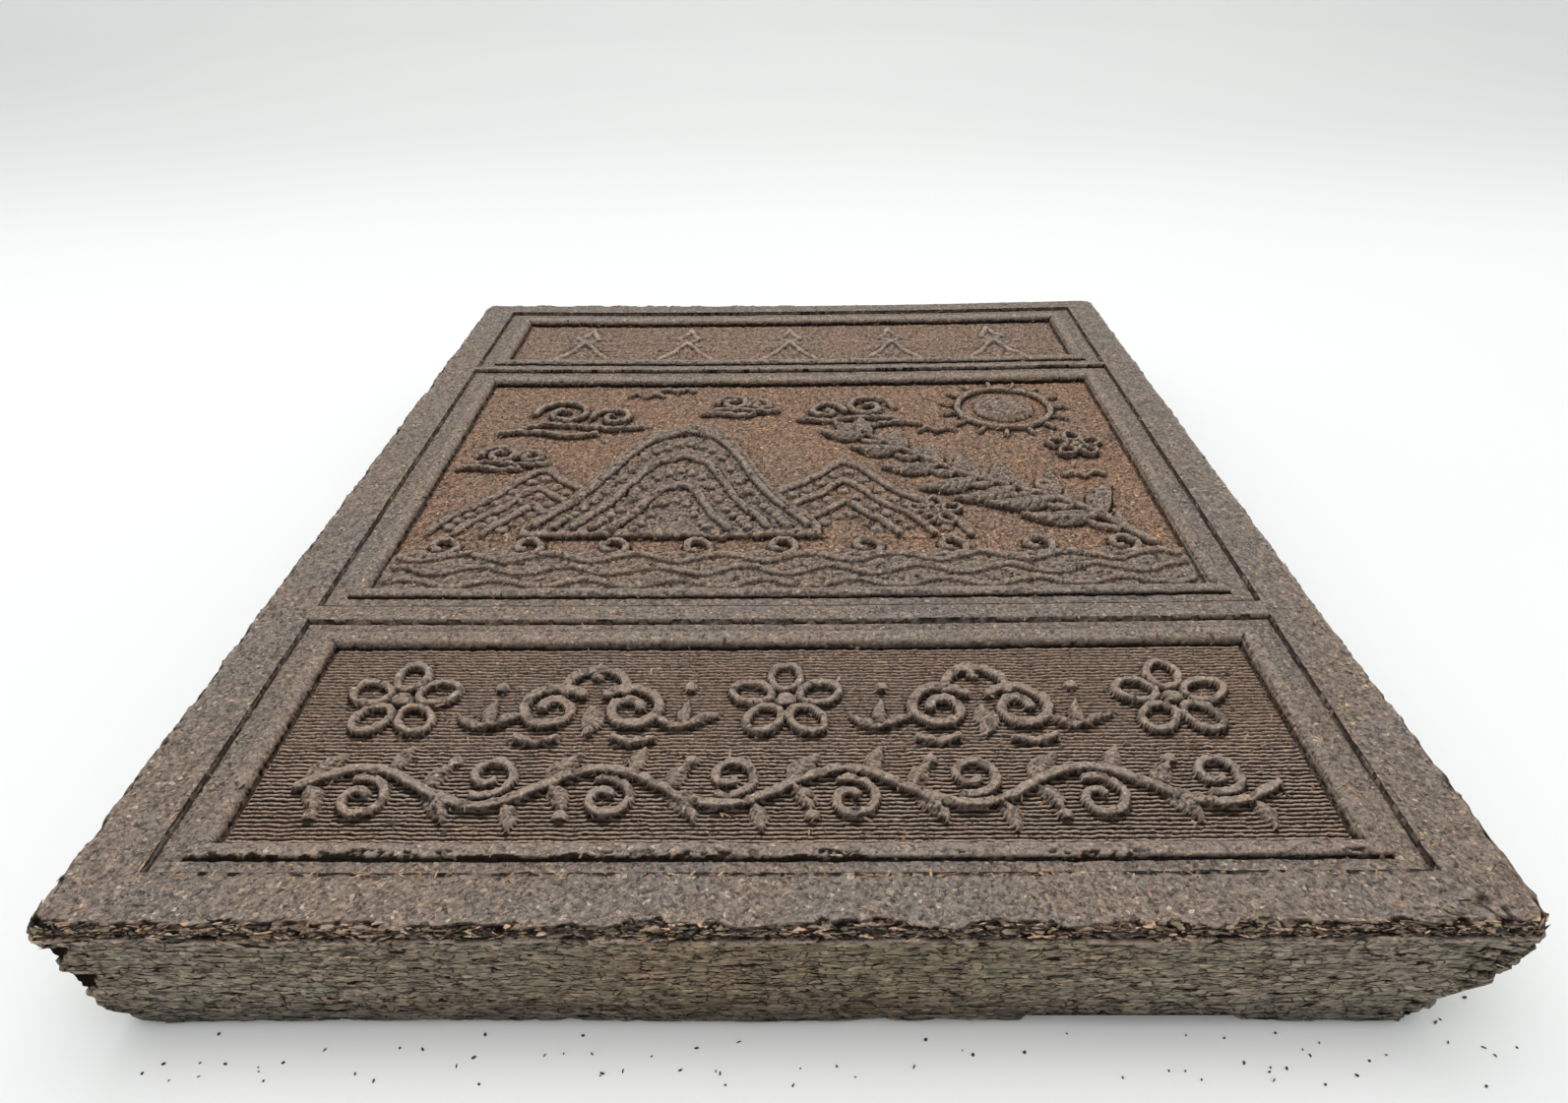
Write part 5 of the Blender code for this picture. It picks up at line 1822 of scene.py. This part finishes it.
@dataclass
class Scatter:
    """One kind of small bit, spread over a surface by Geometry Nodes and made one plain mesh."""

    name: str
    shape: BitShape
    finish: Material
    weight: str
    density: float  # bits on a square metre where the weight is 1
    smallest: tuple[float, float, float]  # length, width and height, in millimetres
    largest: tuple[float, float, float]
    spin: float  # degrees to either side about the surface's normal
    tilt: float  # degrees to either side out of the surface
    aligned: float = 0.0  # 1 lays them along the edge
    upright: bool = False  # True keeps them level instead of square to the surface
    base: float = 0.45
    seed: int = 1
    variants: int = 3

    def tree(self, shapes: Sequence[Object]) -> NodeTree:
        """The node tree that lays the bits.

        Args:
            shapes: The bits to pick from.

        Returns:
            A tree that takes the ground and gives the bits as one mesh.
        """
        tree = bpy.data.node_groups.new(f"lay_{self.name}", "GeometryNodeTree")
        tree.interface.new_socket("Ground", in_out="INPUT", socket_type="NodeSocketGeometry")
        tree.interface.new_socket("Bits", in_out="OUTPUT", socket_type="NodeSocketGeometry")
        bench = Bench(tree)
        weight, along = (
            bench.node("GeometryNodeInputNamedAttribute", {"data_type": kind}, {"Name": name})
            for kind, name in (("FLOAT", self.weight), ("FLOAT_VECTOR", "along"))
        )
        given = {"Mesh": bench.node("NodeGroupInput"), "Seed": self.seed}
        given["Density"] = bench.number(weight) * self.density
        spread = bench.node("GeometryNodeDistributePointsOnFaces", {"distribute_method": "RANDOM"}, given)
        joined = bench.node("GeometryNodeJoinGeometry")
        for shape in reversed(shapes):
            source = bench.node("GeometryNodeObjectInfo", None, {"Object": shape})
            single = bench.node("GeometryNodeGeometryToInstance", None, {0: source.outputs["Geometry"]})
            tree.links.new(single.outputs[0], joined.inputs[0])
        turn = [radians(angle) for angle in (self.tilt, self.tilt, self.spin)]
        # a random number of each kind: its inputs' numbers, and the output that holds it
        picks = {4: 0, 5: len(shapes) - 1, "Seed": 3}
        pick = bench.node("FunctionNodeRandomValue", {"data_type": "INT"}, picks).outputs[2]
        smallest, largest = ([side * MM for side in sides] for sides in (self.smallest, self.largest))
        spans = ({0: smallest, 1: largest, "Seed": 5}, {0: [-angle for angle in turn], 1: turn, "Seed": 7})
        vector = {"data_type": "FLOAT_VECTOR"}
        size, swing = (bench.node("FunctionNodeRandomValue", vector, span) for span in spans)
        tint = bench.node("FunctionNodeRandomValue", {"data_type": "FLOAT"}, {"Seed": 9}).outputs[1]
        aligning = {"Factor": self.aligned, "Vector": along}
        if not self.upright:
            aligning["Rotation"] = spread.outputs["Rotation"]
        axes = {"axis": "X", "pivot_axis": "Z"}
        aligned = bench.node("FunctionNodeAlignRotationToVector", axes, aligning)
        laying = {"Points": spread.outputs["Points"], "Instance": joined, "Pick Instance": True}
        laying |= {"Instance Index": pick, "Rotation": aligned, "Scale": size}
        laid = bench.node("GeometryNodeInstanceOnPoints", None, laying)
        rotating = {"Instances": laid, "Rotation": swing}
        rotated = bench.node("GeometryNodeRotateInstances", None, rotating)
        on_each = {"data_type": "FLOAT", "domain": "INSTANCE"}
        tinting = {"Geometry": rotated, "Name": "tint", "Value": tint}
        tinted = bench.node("GeometryNodeStoreNamedAttribute", on_each, tinting)
        real = bench.node("GeometryNodeRealizeInstances", None, {"Geometry": tinted})
        dressing = {"Geometry": real, "Material": self.finish}
        dressed = bench.node("GeometryNodeSetMaterial", None, dressing)
        bench.node("NodeGroupOutput", None, {0: dressed})
        return tree

    def build(self, ground: Mesh) -> Object:
        """Lays the bits.

        Args:
            ground: The surface, with the weight and the direction along the edge at each point.

        Returns:
            The piece that they make together.
        """
        carrier = bpy.data.objects.new(f"{self.name}_ground", ground)
        bpy.context.scene.collection.objects.link(carrier)
        shapes = [self.shape.model(i, self.base) for i in range(self.variants)]
        modifier = carrier.modifiers.new("lay", "NODES")
        modifier.node_group = self.tree(shapes)
        bpy.context.view_layer.update()
        evaluated = carrier.evaluated_get(bpy.context.evaluated_depsgraph_get())
        mesh = bpy.data.meshes.new_from_object(evaluated)
        mesh.name = self.name
        bpy.data.node_groups.remove(modifier.node_group)
        carrier.modifiers.remove(modifier)
        for spent in (carrier, *shapes):
            bpy.data.objects.remove(spent)
        return add_piece(self.name, mesh, self.finish)


@dataclass
class Bits:
    """All the small bits on and round the brick."""

    surfaces: list[Surface]
    floor_reach: tuple[float, float, float, float] = (-98 * MM, 99 * MM, -124 * MM, 121 * MM)
    cell: float = 1.5 * MM  # of the floor that crumbs fall on

    def ground(self) -> Mesh:
        """Joins the surfaces.

        Returns:
            The brick's whole outside as one mesh, with its weights.
        """
        counts = [len(surface.points) for surface in self.surfaces]
        offsets = np.cumsum([0, *counts[:-1]])
        points = np.concatenate([surface.points for surface in self.surfaces])
        quads = [surface.quads + offset for surface, offset in zip(self.surfaces, offsets)]
        mesh = plain_mesh("ground", points, np.concatenate(quads))
        blank = [np.zeros(count) for count in counts]
        for name in ("stems", "shreds", "flank", "edge"):
            weights = [surface.weights.get(name, none).ravel() for surface, none in zip(self.surfaces, blank)]
            set_numbers(mesh, **{name: np.concatenate(weights)})
        along = np.concatenate([surface.along for surface in self.surfaces])
        set_along(mesh, along / np.maximum(np.linalg.norm(along, axis=1, keepdims=True), 1e-9))
        return mesh

    def table_top(self) -> Mesh:
        """Makes what the fallen crumbs lie on.

        Returns:
            The part of the floor round the brick, with its weight.
        """
        left, right, near, far = self.floor_reach
        x, y = np.meshgrid(np.arange(left, right, self.cell), np.arange(near, far, self.cell))
        number = np.arange(x.size).reshape(x.shape)
        points = np.stack([x, y, np.zeros_like(x)], axis=-1).reshape(-1, 3)
        mesh = plain_mesh("table_top", points, grid_quads(number))
        under = np.abs(x - UNDERSIDE_SHIFT[0]) < HALF_WIDTH - 3.5 * MM
        inside = under & (np.abs(y) < HALF_LENGTH - 3.0 * MM)
        weight = (0.25 + 0.75 * eased(noise(x, y, 16 * MM, 131), -0.2, 0.6)) * ~inside
        weight *= 0.35 + 0.65 * ((y < -HALF_LENGTH) | (x > HALF_WIDTH - 6 * MM))
        set_numbers(mesh, table=weight)
        set_along(mesh, np.tile([1.0, 0.0, 0.0], x.size))
        return mesh

    def build(self) -> None:
        """Lays every kind of bit."""
        ground = self.ground()
        finishes = (Finish.STEM, Finish.LEAF, Finish.CRUMB, Finish.DUST)
        stem, leaf, crumb, dust = (finish.value.material() for finish in finishes)
        kinds = (
            Scatter(
                "stem_flecks", BitShape.SLIVER, stem, "stems", 62000.0,
                (0.7, 0.22, 0.10), (2.4, 0.5, 0.2), 180, 5, seed=21,
            ),
            Scatter(
                "leaf_shreds", BitShape.SHRED, leaf, "shreds", 190000.0,
                (0.6, 0.35, 0.14), (1.9, 0.9, 0.34), 180, 9, seed=22,
            ),
            Scatter(
                "flank_flecks", BitShape.SLIVER, stem, "flank", 14000.0,
                (0.8, 0.2, 0.10), (2.6, 0.4, 0.16), 16, 4, aligned=1.0, seed=23,
            ),
            Scatter(
                "edge_crumbs", BitShape.SHRED, crumb, "edge", 1300000.0,
                (0.8, 0.22, 0.12), (3.6, 0.6, 0.36), 13, 16, aligned=1.0, seed=24,
            ),
        )
        for kind in kinds:
            kind.build(ground)
        bpy.data.meshes.remove(ground)
        table = self.table_top()
        fallen = Scatter(
            "fallen_crumbs", BitShape.LUMP, dust, "table", 68000.0,
            (0.22, 0.18, 0.10), (1.0, 0.55, 0.4), 180, 0, upright=True, base=0.0, seed=25,
        )
        fallen.build(table)
        bpy.data.meshes.remove(table)


# ---- the whole brick


@dataclass
class TeaBrick:
    """The brick: its slab, the strips of its moulded face and the bits on it."""

    slab: Slab = field(default_factory=Slab)

    def strips(self) -> list[Strip]:
        """Divides the face.

        Returns:
            The strips, from the near one on.
        """
        ribs = Ribs()
        fine = ribs.pitch / 5
        split = ribs.near + 24 * ribs.pitch
        start = ribs.near - ceil((ribs.near - ORNAMENT_NEAR + 0.25 * MM) / fine) * fine
        quarter = ribs.pitch / 4
        end = split + ceil((ORNAMENT_FAR + 0.25 * MM - split) / quarter) * quarter
        return [
            Strip("ornament_front", start, split, fine, first_covered=ORNAMENT_NEAR),
            Strip("ornament_back", split, end, quarter, last_covered=ORNAMENT_FAR),
            Strip(
                "picture_front", ORNAMENT_FAR, 9 * MM, 0.37 * MM,
                lines=(PICTURE_NEAR, PICTURE_NEAR + BEAD_START),
            ),
            Strip(
                "picture_back", 9 * MM, PICTURE_FAR + 0.3 * MM, 0.37 * MM, last_covered=PICTURE_FAR,
                lines=(PICTURE_FAR - FLOOR_INSET, PICTURE_FAR - 0.1 * MM),
            ),
            Strip(
                "star_field", PICTURE_FAR, STARS_FAR + 0.3 * MM, 0.3 * MM, last_covered=STARS_FAR,
                lines=(STARS_NEAR, STARS_NEAR + BEAD_START, STARS_FAR - FLOOR_INSET, STARS_FAR - 0.1 * MM),
            ),
        ]

    def build(self) -> None:
        """Makes every piece of the brick."""
        face = Finish.FACE.value.material()
        flank = Finish.FLANK.value.material()
        body = self.slab.build(face, flank)[1]
        Bits([body, *(strip.build(face)[1] for strip in self.strips())]).build()


# ---- floor, light and camera


@dataclass
class Studio:
    """A pale sweep, soft light from above and behind, and the camera."""

    floor_half: float = 2.2
    floor_near: float = -1.4
    sweep_start: float = 1.1
    sweep_radius: float = 0.6
    wall_height: float = 1.6
    lens: float = 24.537
    eye: tuple[float, float, float] = (0.002268, -0.206115, 0.132989)
    pitch_yaw_roll: tuple[float, float, float] = (31.697, -0.920, -0.858)
    softboxes: tuple[tuple[str, tuple[float, float, float], float, float], ...] = (
        ("back_softbox", (0.0, 0.75, 0.85), 0.9, 2.4),  # name, place, side and watts
        ("top_softbox", (-0.1, -0.05, 1.0), 1.3, 4.6),
    )
    target: tuple[float, float, float] = (0.0, 0.0, 0.02)  # what they point at

    def sweep(self) -> None:
        """Makes the floor that curves up into the wall behind the brick."""
        line = [(self.floor_near, 0.0), (self.sweep_start, 0.0)]
        for i in range(1, 17):
            angle = pi / 2 * i / 16
            y = self.sweep_start + self.sweep_radius * sin(angle)
            line.append((y, self.sweep_radius * (1 - cos(angle))))
        line.append((line[-1][0], self.wall_height))
        points = [(x, y, z) for y, z in line for x in (-self.floor_half, self.floor_half)]
        quads = [(2 * i, 2 * i + 1, 2 * i + 3, 2 * i + 2) for i in range(len(line) - 1)]
        mesh = plain_mesh("floor", np.array(points), np.array(quads))
        material, bench = fresh_material("pale_floor")
        place = bench.node("ShaderNodeTexCoord").outputs["Object"]
        even = bench.number(bench.noise(place, 3.0)).between(0.2, 0.8)
        colour = bench.mixed("MIX", even, (0.80, 0.81, 0.80, 1.0), (0.83, 0.84, 0.82, 1.0))
        parts = bench.node("ShaderNodeSeparateXYZ", None, {"Vector": place})
        along = bench.number(parts, "Y")
        # painted light and shade: duller behind the brick, brighter on the sweep, and palest just ahead of
        # the brick, against its shadow
        colour = bench.mixed("MULTIPLY", along.between(0.12, 0.58), colour, (0.82, 0.83, 0.82, 1.0))
        colour = bench.mixed("MULTIPLY", along.between(0.66, 1.25), colour, (1.15, 1.15, 1.15, 1.0))
        ahead = (0.0 - along).between(0.112, 0.124)
        ahead = ahead * (1 - bench.number(parts, "X").unsigned().between(0.07, 0.105))
        colour = bench.mixed("MIX", ahead, colour, (0.985, 0.99, 0.975, 1.0))
        bench.finish(bench.surface(Base_Color=colour, Roughness=0.6))
        mesh.materials.append(material)
        floor = bpy.data.objects.new("floor", mesh)
        bpy.context.scene.collection.objects.link(floor)

    def light(self, name: str, place: Sequence[float], side: float, watts: float) -> None:
        """Adds a soft square light that points at the brick.

        Args:
            name: Its name.
            place: Where it hangs.
            side: Length of its sides.
            watts: Its power.
        """
        lamp = bpy.data.lights.new(name, "AREA")
        lamp.size, lamp.energy = side, watts
        holder = bpy.data.objects.new(name, lamp)
        holder.location = place
        holder.rotation_euler = (Vector(self.target) - Vector(place)).to_track_quat("-Z", "Y").to_euler()
        bpy.context.scene.collection.objects.link(holder)

    def camera(self) -> None:
        """Adds the camera at the photograph's place, fitted to the corners of the face."""
        data = bpy.data.cameras.new("camera")
        data.lens, data.sensor_width, data.clip_start = self.lens, 36.0, 0.01
        holder = bpy.data.objects.new("camera", data)
        pitch, yaw, roll = (radians(angle) for angle in self.pitch_yaw_roll)
        ahead = Vector((sin(yaw) * cos(pitch), cos(yaw) * cos(pitch), -sin(pitch)))
        right = Vector((cos(yaw), -sin(yaw), 0.0))
        up = right.cross(ahead)
        rolled = cos(roll) * right + sin(roll) * up
        upright = cos(roll) * up - sin(roll) * right
        axes = Matrix((rolled, upright, -ahead)).transposed().to_4x4()
        holder.matrix_world = Matrix.Translation(self.eye) @ axes
        bpy.context.scene.collection.objects.link(holder)
        bpy.context.scene.camera = holder

    def build(self) -> None:
        """Makes the floor, the lights, the surroundings and the camera."""
        self.sweep()
        for softbox in self.softboxes:
            self.light(*softbox)
        world = bpy.data.worlds.new("surroundings")
        world.use_nodes = True
        bench = Bench(world.node_tree)
        sky = bench.node("ShaderNodeBackground", None, {"Color": (0.97, 0.985, 1.0, 1.0), "Strength": 0.88})
        bench.node("ShaderNodeOutputWorld", None, {"Surface": sky})
        scene = bpy.context.scene
        scene.world = world
        scene.view_settings.view_transform = "Standard"
        self.camera()
        LOG.info("studio: floor, two lights and the camera")


def main() -> None:
    """Builds the brick and its surroundings, and reports each piece."""
    logging.basicConfig(level=logging.INFO, format="%(name)s: %(message)s")
    TeaBrick().build()
    Studio().build()


if __name__ == "__main__":
    main()
